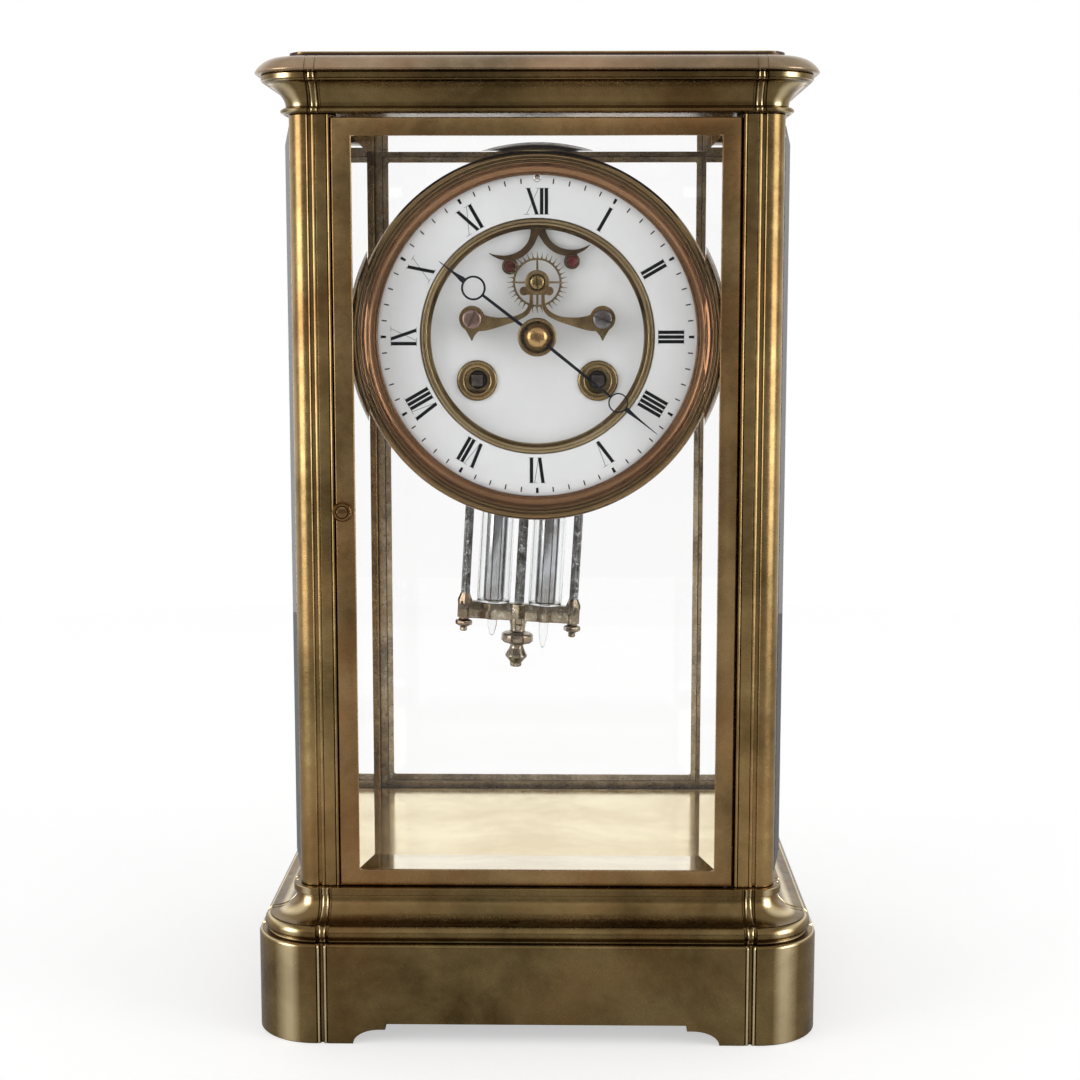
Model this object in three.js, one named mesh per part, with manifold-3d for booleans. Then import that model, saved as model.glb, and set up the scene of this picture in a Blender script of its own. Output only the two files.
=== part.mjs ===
// Four glass clock: a moulded brass case with four bevelled glasses, a two train movement
// with a visible escapement, and a twin vial pendulum. Millimetres, +Z up, front towards -Y,
// origin at the middle of the footprint.
import * as THREE from 'three';
import { mergeVertices } from 'three/addons/utils/BufferGeometryUtils.js';
import Module from 'manifold-3d';

const wasm = await Module();
wasm.setup();

// Clearances
const seat = 0.3;              // between two pieces that rest on each other
const running = 0.05;          // radial, between a shaft and its hole
const overrun = 2;             // how far a cutting shape passes the face that it cuts

// Case plan
const bezelRadius = 64.25;
const caseMargin = 20.55;      // bezel's rim out to the posts' outer faces
const postHalfWidth = bezelRadius + caseMargin;
const postHalfDepth = 71;      // middle to the front plane of the posts and doors
const postRound = 7.3;         // quarter-round on each post's outer corner
const grooveWidth = 1.9;       // groove beside each rounded corner
const grooveDepth = 1.4;

// Case heights
const plinthHeight = 36;
const baseMouldingHeight = 16.2;
const postHeight = 269.2;
const corniceHeight = 12.9;
const capHeight = 5.6;
const topPanelThickness = 1.6;

// Plinth
const plinthProjection = 15.1;
const plinthWall = 4;
const plinthEdge = 1.2;        // small round along the plinth's top edge
const apronHeight = 7.3;       // underside of the apron between the feet
const footLength = 35.5;       // from the plinth's corner to the toe of its foot
const footStep = 2;            // step between the apron and the foot's curve
const footCurveLength = 9.4;
const footCurveHeight = 5.2;

// Base moulding, as projections from the post faces
const baseTorusProjection = 13.1;
const baseTorusHeight = 5.2;
const baseTorusRound = 1.73;   // how far the torus draws in at its top and bottom
const baseNeckProjection = 1.5;
const baseNeckHeight = 13.2;
const baseFilletProjection = 2.6;
const baseWeb = 3;             // top plate of the hollow base
const basePocketMargin = 14;   // from the post faces in to the hollow
const floorThickness = 1;
const floorMargin = 6.8;       // from the door's back to the floor plate's edge

// Posts
const doorRebate = 6.3;        // depth of the rebate that a door closes into
const stopLip = 3.7;           // thickness of the lip behind it
const stopOverlap = 1.1;       // how far the lip stands behind the door's edge
const legThickness = 4.2;      // leg that carries the side glass
const legLength = 7;
const glassRebate = 2.6;       // from the post's side face in to the glass seat

// Side glasses
const sideGlassThickness = 5;
const sideGlassMargin = 2.2;   // from the post's round back to the glass edge
const sideGlassEndGap = 3.1;   // above and below the glass
const sideBevel = 6;
const bevelDrop = 2.2;

// Cornice and cap, as projections from the post faces
const astragalProjection = 2.9;
const astragalHeight = 2.3;
const corniceNeckProjection = 1.05;
const corniceNeckHeight = 3.4;
const corniceFilletProjection = 8.5;
const corniceFilletHeight = 10.5;
const corniceLipProjection = 9.3;
const capProjection = 11.3;
const capEdgeHeight = 0.9;
const capTopProjection = 3.5;
const corniceOpeningMargin = 17;
const topPanelInset = 0.6;

// Doors
const postFaceWidth = 15.1;    // post's outer face in to the door's edge
const doorHalfWidth = postHalfWidth - postFaceWidth;
const doorThickness = 6;
const doorBottomGap = 0.4;
const doorTopGap = 1.2;
const stileWidth = 6.7;
const bottomRailHeight = 5.6;
const topRailHeight = 6.1;
const doorLipThickness = 1.5;
const doorGlassOverlap = 2.3;
const doorGlassThickness = 3.6;
const doorBevel = 7.6;
const doorBevelDrop = 1.6;
const hingeInset = 2.7;        // hinge axis to the door's outer edge
const hingeSetback = 1.8;      // hinge axis to the door's front plane
const hingePinRadius = 1;
const hingePinReach = 3.4;     // how far a pin enters the door
const hingePinRoot = 5;        // how far it stands in the case
const hingeChamfer = 1.5;

// Door catch
const catchHeight = 186.8;
const catchInset = 2.4;        // from the door's edge to the knob's axis
const catchKnobRadius = 3.5;
const catchKnobThickness = 2.6;
const catchShaftRadius = 0.9;
const catchBladeLength = 5;
const catchBladeWidth = 1.8;
const catchBladeThickness = 1;
const catchEdgeShare = 0.7;    // where the knob's rounded edge starts, of its radius and depth

// Dial
const bezelTopGap = 11.25;     // under the cornice
const bezelSetback = 12;       // door plane to the bezel's front
const bezelDepth = 15.2;
const bezelFace = 8.25;        // width of the bezel's stepped front
const bezelLipRadius = bezelRadius - bezelFace;
const bezelLipDepth = 3.9;     // front of the bezel back to the lip's front edge
const bezelLipThickness = 1.8;
const bezelWall = 3.6;
const bezelStep = 1.65;        // width of each step in the bezel's front
const bezelBeadRise = 1.3;     // from the bezel's front to the bead inside its rim
const bezelHold = 2;           // how far the bezel's lip covers the chapter ring
const chapterOuterRadius = bezelLipRadius + bezelHold;
const chapterThickness = 1.5;
const sightOuterRadius = 41;
const sightWidth = 3.5;
const sightInnerRadius = sightOuterRadius - sightWidth;
const chapterInnerRadius = sightOuterRadius + seat;
const sightSleeve = 0.8;       // wall behind the sight ring's lip, where the anchor's tails swing
const sightStand = 1;          // the sight ring stands this far ahead of the enamel
const centreRadius = sightOuterRadius - seat;
const centreDepth = 5;         // enamel ring's face back to the recessed centre's face
const centreThickness = 1.3;
const dialFootRadius = 1.5;
const dialFootCircle = 30;
const dialFootAngles = [45, 200, 340];
const anchorSlotRadius = 3;    // hole in the recessed centre behind the anchor's pivot
const sightNotchHalf = 6;      // gap in the sight ring that lets the anchor through
const sightNotchFloor = 18.75; // above the dial's centre
const dialCentreHole = 4.4;

// Winding holes and squares
const windingOffset = 21.4;
const windingDrop = 15.5;
const ferruleRadius = 7.2;
const ferruleFlange = 1;
const ferruleTubeRadius = 5;
const ferruleBore = 4.4;
const windingSquare = 4;
const windingArborRadius = 3;

// Movement plates
const plateRadius = 46;
const plateThickness = 2.5;
const frontPlateSetback = 30;  // door plane to the front plate's face
const plateSpacing = 33;       // clear space between the plates
const pillarRadius = 2.5;
const pillarCircle = 41;
const pillarAngles = [40, 140, 250, 290];

// Brackets from the posts to the front plate
const bracketInnerReach = 36;
const bracketHeight = 14;
const bracketThickness = 2.2;
const bracketTab = 2.5;

// Going train: teeth and modules, then the places that they set
const barrelTeeth = 60;
const barrelModule = 0.6;
const barrelPinionLeaves = 10;
const intermediateTeeth = 48;
const intermediateModule = 0.5;
const centrePinionLeaves = 8;
const centreTeeth = 72;
const centreModule = 0.34;
const trainPinionLeaves = 6;
const thirdTeeth = 66;
const thirdModule = 0.34;
const wheelThickness = 1.4;
const pinionOverlap = 0.9;     // how far a pinion runs past the wheel that it meets
const trainArborRadius = 0.6;
const centreArborRadius = 1.2;
const rimWidth = 1.4;
const hubRadius = 2;
const spokeWidth = 1.1;

// Depths of the wheels, from the front plate's back face
const barrelDepth = 1.6;
const drumLength = 17;
const drumRadius = 17.3;
const greatWheelDepth = 20;
const centreWheelDepth = 23.6;
const intermediateWheelDepth = 26.3;
const thirdWheelDepth = 30;

// Escapement
const escapeRise = 19;         // escape wheel above the dial's centre
const escapeTeeth = 36;
const escapeTipRadius = 10.7;
const escapeRootRadius = 8.6;
const escapeRimRadius = 7.6;
const escapeThickness = 0.8;
const escapeHeelShare = 0.3;   // tooth root before and after its tip, of the tooth spacing
const escapeFaceShare = 0.1;
const escapeSetback = 18.8;    // door plane to the wheel's front
const anchorInset = 1;         // anchor pivot inside the sight ring's rim
const anchorRise = sightOuterRadius - anchorInset;
const anchorSetback = 20.4;
const anchorThickness = 1;
const anchorTurn = -4.8;       // degrees, as the anchor stands in the photograph
const stoneReach = 10.94;
const stoneDrop = 14.67;
const stoneRadius = 2.2;
const stoneCollar = 3.2;
const stoneLength = 1.55;
const anchorTailReach = 17.5;
const anchorTailDrop = 9.9;
const anchorWaist = 1.5;
const anchorArmShares = [            // shares of the stone's reach and drop, then half width in waists
  [0, 0, 2], [0.14, 0.25, 1], [0.34, 0.5, 1], [0.75, 0.72, 1], [1.15, 0.78, 0.5],
];
const anchorTailWidth = 0.2;
const anchorArborRadius = 1;
const crutchLength = 24;
const crutchWidth = 3;
const forkProng = 1.5;         // prongs that hold the pendulum's rod between them

// Bridge that carries the escape wheel's front pivot
const bridgeSetback = 16.3;
const bridgeThickness = 1.2;
const bridgeEndReach = 22.9;
const bridgeEndRise = 6.2;
const bridgeEndRadius = 4.6;
const bridgeHeadRadius = 2.9;
const bridgeLobeRadius = 2.3;
const bridgeLobeReach = 4.9;
const bridgeLobeRise = 16.5;
const bridgeStem = 1.8;
const bridgeFootRadius = 3;
const bridgeSpurReach = 24.6;
const bridgeSpurDrop = 2;
const bridgeArm = [            // one wing's middle line: reach, rise and half width
  [2.9, 16.5, 0.9], [2.9, 11.9, 0.9], [4.6, 8.9, 1.1], [9.2, 6.2, 1.1], [17.2, 6.2, 1.8], [22.9, 6.2, 3.7],
];
const bridgeSpurRise = 3.7;    // from the end disc's middle down to the spur's root
const bridgeSpurWidth = 3.2;
const bridgeScrewRadius = 3.4;
const bridgeScrewHead = 0.8;
const bridgeScrewShank = 1.3;
const screwSlot = 0.7;
const screwSlotTurn = 60;      // degrees from level

// Hands and motion work
const hourHandLength = 43;
const hourRingPlace = 28;
const hourRingRadius = 4.3;
const minuteHandLength = 54;
const minuteRingPlace = 36.5;
const minuteRingRadius = 3.5;
const ringWall = 1.1;
const handWidth = 1.3;
const handTip = 0.5;
const handThickness = 0.6;
const hourAngle = 307.5;       // clockwise from XII, as in the photograph
const minuteAngle = 128.8;
const hourHandSetback = 14.2;
const minuteHandSetback = 13.3;
const hourColletRadius = 6.8;
const minuteColletRadius = 3.6;
const handNutRadius = 4.4;
const handNutHeight = 2.6;
const handNutShares = [[0, 1], [0.6, 0.9], [1, 0.4], [1, 0], [0, 0]];
const cannonTubeRadius = 2.2;
const hourTubeRadius = 3.4;
const cannonLeaves = 12;
const minuteTeeth = 36;
const minuteModule = 0.5;
const minuteLeaves = 10;
const hourTeeth = 40;
const hourModule = 0.48;
const motionThickness = 1.3;
const motionGap = 0.5;
const studRadius = 1;
const studLength = 4.9;        // ahead of the minute wheel's back
const minuteWheelAngle = 215;

// Regulator arbor over XII, which runs back to the pendulum's cock
const regulatorInset = 1;      // inside the bezel's lip
const regulatorRise = bezelLipRadius - regulatorInset;
const regulatorRadius = 1.2;
const regulatorHole = 1.5;
const regulatorSquareHalf = 0.7;

// Pendulum
const pendulumPlane = 20;      // y of the rod's axis
const pendulumTurn = 3.3;      // degrees, swung to the left as in the photograph
const pendulumRodRadius = 1.9;
const rodTopDrop = 7;          // pivot down to the rod's top
const springWidth = 5;
const springThickness = 0.4;
const springRise = 0.8;
const topBarDrop = 74;         // pivot down to the middle of the top bar
const bottomBarDrop = 150.3;
const barHeight = 7;
const barDepth = 5;
const barHalfLength = 21.5;
const barCollarRadius = 2.9;
const sideRodRadius = 1.8;
const vialOffset = 10.2;
const vialRadius = 4.6;
const vialHoleRadius = 2.3;
const vialTipRadius = 1.6;
const vialTipLengthLeft = 9;
const vialTipLengthRight = 13.8;
const vialTipShares = [[0, 1], [0.6, 0.97], [1, 0.8]];
const finialLength = 18.5;
const finialRadius = 6.3;
const finialShares = [         // of the radius and the length, from the finial's tip up
  [0, 1], [0.38, 1], [0.68, 0.78], [0.36, 0.56], [1, 0.44], [1, 0.24], [0.45, 0.12], [0.45, 0],
];
const sideFinialLength = 5.5;
const sideFinialRadius = 3.3;
const sideFinialShares = [
  [0, 1], [0.45, 1], [0.5, 0.65], [1, 0.45], [1, 0.2], [0.5, 0.1], [0.5, 0],
];

// Cock that hangs the pendulum
const cockHalfWidth = 10;
const cockFoot = 2.4;
const cockBelow = 8;
const cockCrown = 3;           // above the regulator arbor
const cockAbove = regulatorRise - anchorRise + cockCrown;
const cockArm = 3;

// Bell and hammer
const bellRadius = 28;
const bellDepth = 14;
const bellWall = 1.5;
const bellRise = 5;            // above the dial's centre
const bellPlane = 36;          // y of the bell's mouth
const bellArm = 3;
const bellStemRadius = 2.5;
const bellStandReach = 30;
const bellStandRise = 12;
const hammerReach = 32;
const hammerRise = 16;
const hammerArborRadius = 1.2;
const hammerHeadRadius = 2.6;
const hammerHeadLength = 6;
const hammerClearance = 0.8;
const hammerArmWidth = 2;
const hammerArmThickness = 1.5;
const hammerHeadDrop = 12;

// Sides of the round forms
const pinSides = 8;
const tubeSides = 16;
const drumSides = 28;
const dialSides = 36;
const cornerSteps = 4;
const windowSteps = 2;
const bellSides = 20;

// Levels and planes worked out from the sizes above
const cornerX = postHalfWidth - postRound;
const cornerY = postHalfDepth - postRound;
const baseBottom = plinthHeight + seat;
const baseTop = baseBottom + baseMouldingHeight;
const postBottom = baseTop + seat;
const postTop = postBottom + postHeight;
const corniceBottom = postTop + seat;
const corniceTop = corniceBottom + corniceHeight;
const dialHeight = corniceBottom - bezelTopGap - bezelRadius;
const capBottom = corniceTop + seat;
const capTop = capBottom + capHeight;
const doorPlane = -postHalfDepth;
const doorBack = doorPlane + doorThickness;
const doorBottom = baseTop + doorBottomGap;
const doorTop = corniceBottom - doorTopGap;
const lipFront = doorPlane + doorRebate;
const lipBack = lipFront + stopLip;
const lipInner = doorHalfWidth - stopOverlap;
const glassSeat = postHalfWidth - glassRebate;
const sideGlassHalf = cornerY - sideGlassMargin;
const sideGlassBottom = postBottom + sideGlassEndGap;
const sideGlassTop = postTop - sideGlassEndGap;
const doorSill = doorBottom + bottomRailHeight;
const doorHead = doorTop - topRailHeight;
const legInner = glassSeat - legThickness;
const hingeX = doorHalfWidth - hingeInset;
const catchX = -doorHalfWidth + catchInset;
const hingeY = doorPlane + hingeSetback;
const bezelFront = doorPlane + bezelSetback;
const bezelBack = bezelFront + bezelDepth;
const chapterFront = bezelFront + bezelLipDepth + bezelLipThickness + seat;
const chapterBack = chapterFront + chapterThickness;
const centreFront = chapterFront + centreDepth;
const centreBack = centreFront + centreThickness;
const frontPlateFront = doorPlane + frontPlateSetback;
const frontPlateBack = frontPlateFront + plateThickness;
const backPlateFront = frontPlateBack + plateSpacing;
const backPlateBack = backPlateFront + plateThickness;
const bridgeFront = doorPlane + bridgeSetback;
const bridgeBack = bridgeFront + bridgeThickness;
const escapeFront = doorPlane + escapeSetback;
const escapeBack = escapeFront + escapeThickness;
const anchorFront = doorPlane + anchorSetback;
const anchorBack = anchorFront + anchorThickness;
const anchorHeight = dialHeight + anchorRise;
const minuteWheelBack = frontPlateFront - motionGap;
const cannonWheelFront = minuteWheelBack - motionThickness;
const hourWheelFront = cannonWheelFront - motionGap - motionThickness;
const hourHandFront = doorPlane + hourHandSetback;
const minuteHandFront = doorPlane + minuteHandSetback;

// Finishes
function finish(color, roughness, metalness, extra = {}) {
  return new THREE.MeshStandardMaterial({ color, roughness, metalness, ...extra });
}
const agedBrass = finish(0x7d6a3c, 0.42, 1);
const darkBrass = finish(0x4d3a26, 0.5, 1);
const copperBrass = finish(0x8a5f3c, 0.38, 1);
const brightBrass = finish(0xb99b5a, 0.28, 1);
const movementBrass = finish(0xa88c4e, 0.35, 1);
const enamel = finish(0xf1f2f2, 0.18, 0);
const bluedSteel = finish(0x15161c, 0.35, 0.8);
const steel = finish(0x7c7d80, 0.35, 1);
const ruby = finish(0x8a1c12, 0.15, 0);
const clearGlass = finish(0xdfe9e6, 0.03, 0, { transparent: true, opacity: 0.3 });
const vialGlass = finish(0x9da3a6, 0.08, 0.4, { transparent: true, opacity: 0.7 });
const bellMetal = finish(0x9c8348, 0.25, 1);

// Geometry helpers

// A copy with merged corners and without collapsed triangles, so that it is one closed mesh.
function closed(geometry) {
  const bare = geometry.clone();
  bare.deleteAttribute('normal');
  bare.deleteAttribute('uv');
  const merged = mergeVertices(bare, 1e-5);
  const kept = [];
  const index = merged.index.array;
  for (let i = 0; i < index.length; i += 3) {
    const [a, b, c] = index.slice(i, i + 3);
    if (a !== b && b !== c && c !== a) kept.push(a, b, c);
  }
  merged.setIndex(kept);
  return merged;
}

function solid(geometry) {
  const mesh = closed(geometry);
  return new wasm.Manifold(new wasm.Mesh({
    numProp: 3,
    vertProperties: new Float32Array(mesh.attributes.position.array),
    triVerts: new Uint32Array(mesh.index.array),
  }));
}

function surface(made) {
  const { vertProperties, triVerts } = made.getMesh();
  const geometry = new THREE.BufferGeometry();
  geometry.setAttribute('position', new THREE.BufferAttribute(vertProperties, 3));
  geometry.setIndex(new THREE.BufferAttribute(triVerts, 1));
  return geometry;
}

function body(part) {
  return part.isBufferGeometry ? solid(part) : part;
}

function join(...parts) {
  return parts.map(body).reduce((whole, part) => whole.add(part));
}

function cut(whole, ...tools) {
  return tools.reduce((left, tool) => left.subtract(body(tool)), body(whole));
}

function box(x0, x1, y0, y1, z0, z1) {
  const geometry = new THREE.BoxGeometry(x1 - x0, y1 - y0, z1 - z0);
  return geometry.translate((x0 + x1) / 2, (y0 + y1) / 2, (z0 + z1) / 2);
}

// A round bar from y0 to y1, its axis through (x, z).
function bar(radius, y0, y1, x = 0, z = 0, sides = pinSides) {
  const geometry = new THREE.CylinderGeometry(radius, radius, y1 - y0, sides);
  return geometry.translate(x, (y0 + y1) / 2, z);
}

// The same, standing up from z0 to z1.
function post(radius, z0, z1, x = 0, y = 0, sides = pinSides) {
  const geometry = new THREE.CylinderGeometry(radius, radius, z1 - z0, sides);
  return geometry.rotateX(Math.PI / 2).translate(x, y, (z0 + z1) / 2);
}

// Radius of a many-sided hole whose flats clear a round shaft.
function boreRadius(shaft, sides = pinSides) {
  return (shaft + running) / Math.cos(Math.PI / sides);
}

// A shape drawn as seen from the front, given thickness between two depths.
function plate(shape, yFront, yBack, x = 0, z = 0, curveSegments = 5) {
  const geometry = new THREE.ExtrudeGeometry(shape, {
    depth: yBack - yFront, bevelEnabled: false, curveSegments,
  });
  return geometry.rotateX(Math.PI / 2).translate(x, yBack, z);
}

// A plan outline, given height between two levels.
function prism(shape, z0, z1) {
  const geometry = new THREE.ExtrudeGeometry(shape, {
    depth: z1 - z0, bevelEnabled: false, curveSegments: cornerSteps,
  });
  return geometry.translate(0, 0, z0);
}

function polygon(points) {
  return new THREE.Shape(points.map(([u, v]) => new THREE.Vector2(u, v)));
}

// A turned ring or bar about a front-to-back axis; each profile point is [radius, depth].
function turned(profile, x = 0, z = 0, sides = dialSides) {
  const points = profile.map(([radius, depth]) => new THREE.Vector2(radius, depth));
  return new THREE.LatheGeometry(points, sides).translate(x, 0, z);
}

// A turned bar about an upright axis; each profile point is [radius, height].
function turnedUpright(profile, x = 0, y = 0, sides = pinSides) {
  const points = profile.map(([radius, height]) => new THREE.Vector2(radius, height));
  return new THREE.LatheGeometry(points, sides).rotateX(Math.PI / 2).translate(x, y, 0);
}

function ringSection(inner, outer, yFront, yBack) {
  return [[inner, yFront], [outer, yFront], [outer, yBack], [inner, yBack], [inner, yFront]];
}

// A band along a row of points whose half width follows at each point.
function ribbon(points, halfWidths) {
  const left = [];
  const right = [];
  points.forEach((point, i) => {
    const before = points[Math.max(i - 1, 0)];
    const after = points[Math.min(i + 1, points.length - 1)];
    const run = new THREE.Vector2(after[0] - before[0], after[1] - before[1]).normalize();
    left.push([point[0] - run.y * halfWidths[i], point[1] + run.x * halfWidths[i]]);
    right.unshift([point[0] + run.y * halfWidths[i], point[1] - run.x * halfWidths[i]]);
  });
  return polygon([...right, ...left].reverse());
}

// Quarter curve between two profile points: hollow like a cavetto, or full like an ovolo.
function quarter(from, to, hollow, steps = 4) {
  const points = [];
  for (let i = 1; i <= steps; i += 1) {
    const angle = (i / steps) * Math.PI / 2;
    const early = Math.sin(angle);
    const late = 1 - Math.cos(angle);
    const [across, up] = hollow ? [early, late] : [late, early];
    points.push([from[0] + (to[0] - from[0]) * across, from[1] + (to[1] - from[1]) * up]);
  }
  return points;
}

// The case's plan outline, grown by a projection, with a groove beside each rounded corner.
function caseOutline(projection, grooved) {
  const radius = postRound + projection;
  const first = [];
  if (grooved) {
    first.push([cornerX + radius, cornerY - grooveWidth]);
    first.push([cornerX + radius - grooveDepth, cornerY - grooveWidth]);
    first.push([cornerX + radius - grooveDepth, cornerY]);
  }
  for (let i = 0; i <= cornerSteps; i += 1) {
    const angle = (i / cornerSteps) * Math.PI / 2;
    first.push([cornerX + radius * Math.cos(angle), cornerY + radius * Math.sin(angle)]);
  }
  if (grooved) {
    first.push([cornerX, cornerY + radius - grooveDepth]);
    first.push([cornerX - grooveWidth, cornerY + radius - grooveDepth]);
    first.push([cornerX - grooveWidth, cornerY + radius]);
  }
  const flip = (sx, sy) => first.map(([x, y]) => [x * sx, y * sy]);
  return [...first, ...flip(-1, 1).reverse(), ...flip(-1, -1), ...flip(1, -1).reverse()];
}

// A moulding run round the case: its profile is a list of [projection, level] from the bottom up.
function moulding(profile, grooved = true) {
  const rings = profile.map(([projection]) => caseOutline(projection, grooved));
  const count = rings[0].length;
  const positions = [];
  rings.forEach((ring, k) => ring.forEach(([x, y]) => positions.push(x, y, profile[k][1])));
  const index = [];
  for (let k = 0; k + 1 < rings.length; k += 1) {
    for (let i = 0; i < count; i += 1) {
      const a = k * count + i;
      const b = k * count + (i + 1) % count;
      index.push(a, b, b + count, a, b + count, a + count);
    }
  }
  const caps = (ring) => {
    const outline = ring.map(([x, y]) => new THREE.Vector2(x, y));
    return THREE.ShapeUtils.triangulateShape(outline, []);
  };
  const last = (rings.length - 1) * count;
  caps(rings[0]).forEach(([a, b, c]) => index.push(c, b, a));
  caps(rings[rings.length - 1]).forEach(([a, b, c]) => index.push(last + a, last + b, last + c));
  const geometry = new THREE.BufferGeometry();
  geometry.setAttribute('position', new THREE.Float32BufferAttribute(positions, 3));
  geometry.setIndex(index);
  return geometry;
}

// A glass plate with a bevelled front edge, its face towards -Y.
function bevelledGlass(halfWidth, z0, z1, yFront, yBack, bevel, drop) {
  const ring = (inset, y) => [
    [-halfWidth + inset, y, z0 + inset], [halfWidth - inset, y, z0 + inset],
    [halfWidth - inset, y, z1 - inset], [-halfWidth + inset, y, z1 - inset],
  ];
  const positions = [...ring(bevel, yFront), ...ring(0, yFront + drop), ...ring(0, yBack)].flat();
  const index = [0, 1, 2, 0, 2, 3, 8, 10, 9, 8, 11, 10];
  for (const start of [0, 4]) {
    for (let i = 0; i < 4; i += 1) {
      const a = start + i;
      const b = start + (i + 1) % 4;
      index.push(a, a + 4, b + 4, a, b + 4, b);
    }
  }
  const geometry = new THREE.BufferGeometry();
  geometry.setAttribute('position', new THREE.Float32BufferAttribute(positions, 3));
  geometry.setIndex(index);
  return geometry;
}

// Gears

const wheelAddendumShare = 0.85;   // of the module
const wheelDedendumShare = 1.3;
const leafAddendumShare = 0.5;
const leafDedendumShare = 1.2;
const leafRootShare = 0.13;        // half thickness of a pinion's leaf, of the pitch angle
const leafTipShare = 0.09;

// Outline of a wheel with pointed teeth, the first of them along the phase angle.
function wheelShape(teeth, module, phase) {
  const pitch = teeth * module / 2;
  const tip = pitch + module * wheelAddendumShare;
  const root = pitch - module * wheelDedendumShare;
  const step = Math.PI / teeth;
  const points = [];
  for (let i = 0; i < 2 * teeth; i += 1) {
    const radius = i % 2 ? root : tip;
    points.push([radius * Math.cos(phase + i * step), radius * Math.sin(phase + i * step)]);
  }
  return { shape: polygon(points), root };
}

// Outline of a pinion with narrow leaves.
function pinionShape(leaves, module, phase) {
  const pitch = leaves * module / 2;
  const tip = pitch + module * leafAddendumShare;
  const root = pitch - module * leafDedendumShare;
  const step = 2 * Math.PI / leaves;
  const points = [];
  for (let i = 0; i < leaves; i += 1) {
    for (const [radius, share] of [
      [root, -leafRootShare], [tip, -leafTipShare], [tip, leafTipShare], [root, leafRootShare],
    ]) {
      const angle = phase + (i + share) * step;
      points.push([radius * Math.cos(angle), radius * Math.sin(angle)]);
    }
  }
  return polygon(points);
}

// Four windows between a wheel's hub and rim.
function crossOut(shape, hub, rim, count = 4) {
  for (let i = 0; i < count; i += 1) {
    const start = i * 2 * Math.PI / count;
    const end = start + 2 * Math.PI / count;
    const outerTurn = Math.asin(spokeWidth / 2 / rim);
    const innerTurn = Math.asin(spokeWidth / 2 / hub);
    const window = new THREE.Path();
    window.absarc(0, 0, rim, start + outerTurn, end - outerTurn, false);
    window.absarc(0, 0, hub, end - innerTurn, start + innerTurn, true);
    window.closePath();
    shape.holes.push(window);
  }
}

function wheel(teeth, module, yFront, place) {
  const { shape, root } = wheelShape(teeth, module, wheelPhase);
  crossOut(shape, hubRadius, root - rimWidth);
  return plate(shape, yFront, yFront + wheelThickness, place.x, place.z, windowSteps);
}

function pinion(leaves, module, phase, yFront, yBack, place) {
  return plate(pinionShape(leaves, module, phase), yFront, yBack, place.x, place.z);
}

function spacing(teeth, leaves, module) {
  return (teeth + leaves) * module / 2;
}

function bearing(from, to) {
  return Math.atan2(to.z - from.z, to.x - from.x);
}

// Phase that puts a gap of the follower against a tooth of its driver.
function meshPhase(driverPhase, driverTeeth, followerTeeth, from, to) {
  const direction = bearing(from, to);
  const turns = (driverPhase - direction) * driverTeeth / (2 * Math.PI);
  return direction + Math.PI + (0.5 - turns) * 2 * Math.PI / followerTeeth;
}

// The place at given distances from two others, on the left of the way from one to the other.
function between(a, b, fromA, fromB, side) {
  const dx = b.x - a.x;
  const dz = b.z - a.z;
  const span = Math.hypot(dx, dz);
  const along = (fromA ** 2 - fromB ** 2 + span ** 2) / (2 * span);
  const across = side * Math.sqrt(fromA ** 2 - along ** 2);
  return { x: a.x + (dx * along - dz * across) / span, z: a.z + (dz * along + dx * across) / span };
}

const centre = { x: 0, z: dialHeight };
const goingPlace = { x: windingOffset, z: dialHeight - windingDrop };
const strikePlace = { x: -windingOffset, z: dialHeight - windingDrop };
const escapePlace = { x: 0, z: dialHeight + escapeRise };
const anchorPlace = { x: 0, z: anchorHeight };
const intermediatePlace = between(
  goingPlace, centre,
  spacing(barrelTeeth, barrelPinionLeaves, barrelModule),
  spacing(intermediateTeeth, centrePinionLeaves, intermediateModule), 1,
);
const thirdPlace = between(
  centre, escapePlace,
  spacing(centreTeeth, trainPinionLeaves, centreModule),
  spacing(thirdTeeth, trainPinionLeaves, thirdModule), -1,
);
const hammerPlace = { x: -hammerReach, z: dialHeight + hammerRise };
const regulatorPlace = { x: 0, z: dialHeight + regulatorRise };
const minuteWheelDistance = spacing(minuteTeeth, cannonLeaves, minuteModule);
const minuteWheelTurn = THREE.MathUtils.degToRad(minuteWheelAngle);
const minuteWheelPlace = {
  x: minuteWheelDistance * Math.cos(minuteWheelTurn),
  z: dialHeight + minuteWheelDistance * Math.sin(minuteWheelTurn),
};

// Case

function footCut(halfSpan) {
  const curveEnd = halfSpan - footCurveLength;
  const stepEnd = curveEnd - footStep;
  const arch = new THREE.Shape();
  arch.moveTo(-halfSpan, -overrun);
  arch.lineTo(-halfSpan, 0);
  arch.absellipse(-curveEnd, 0, footCurveLength, footCurveHeight, Math.PI, Math.PI / 2, true);
  arch.lineTo(-stepEnd, footCurveHeight);
  arch.lineTo(-stepEnd, apronHeight);
  arch.lineTo(stepEnd, apronHeight);
  arch.lineTo(stepEnd, footCurveHeight);
  arch.absellipse(curveEnd, 0, footCurveLength, footCurveHeight, Math.PI / 2, 0, true);
  arch.lineTo(halfSpan, -overrun);
  return arch;
}

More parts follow.
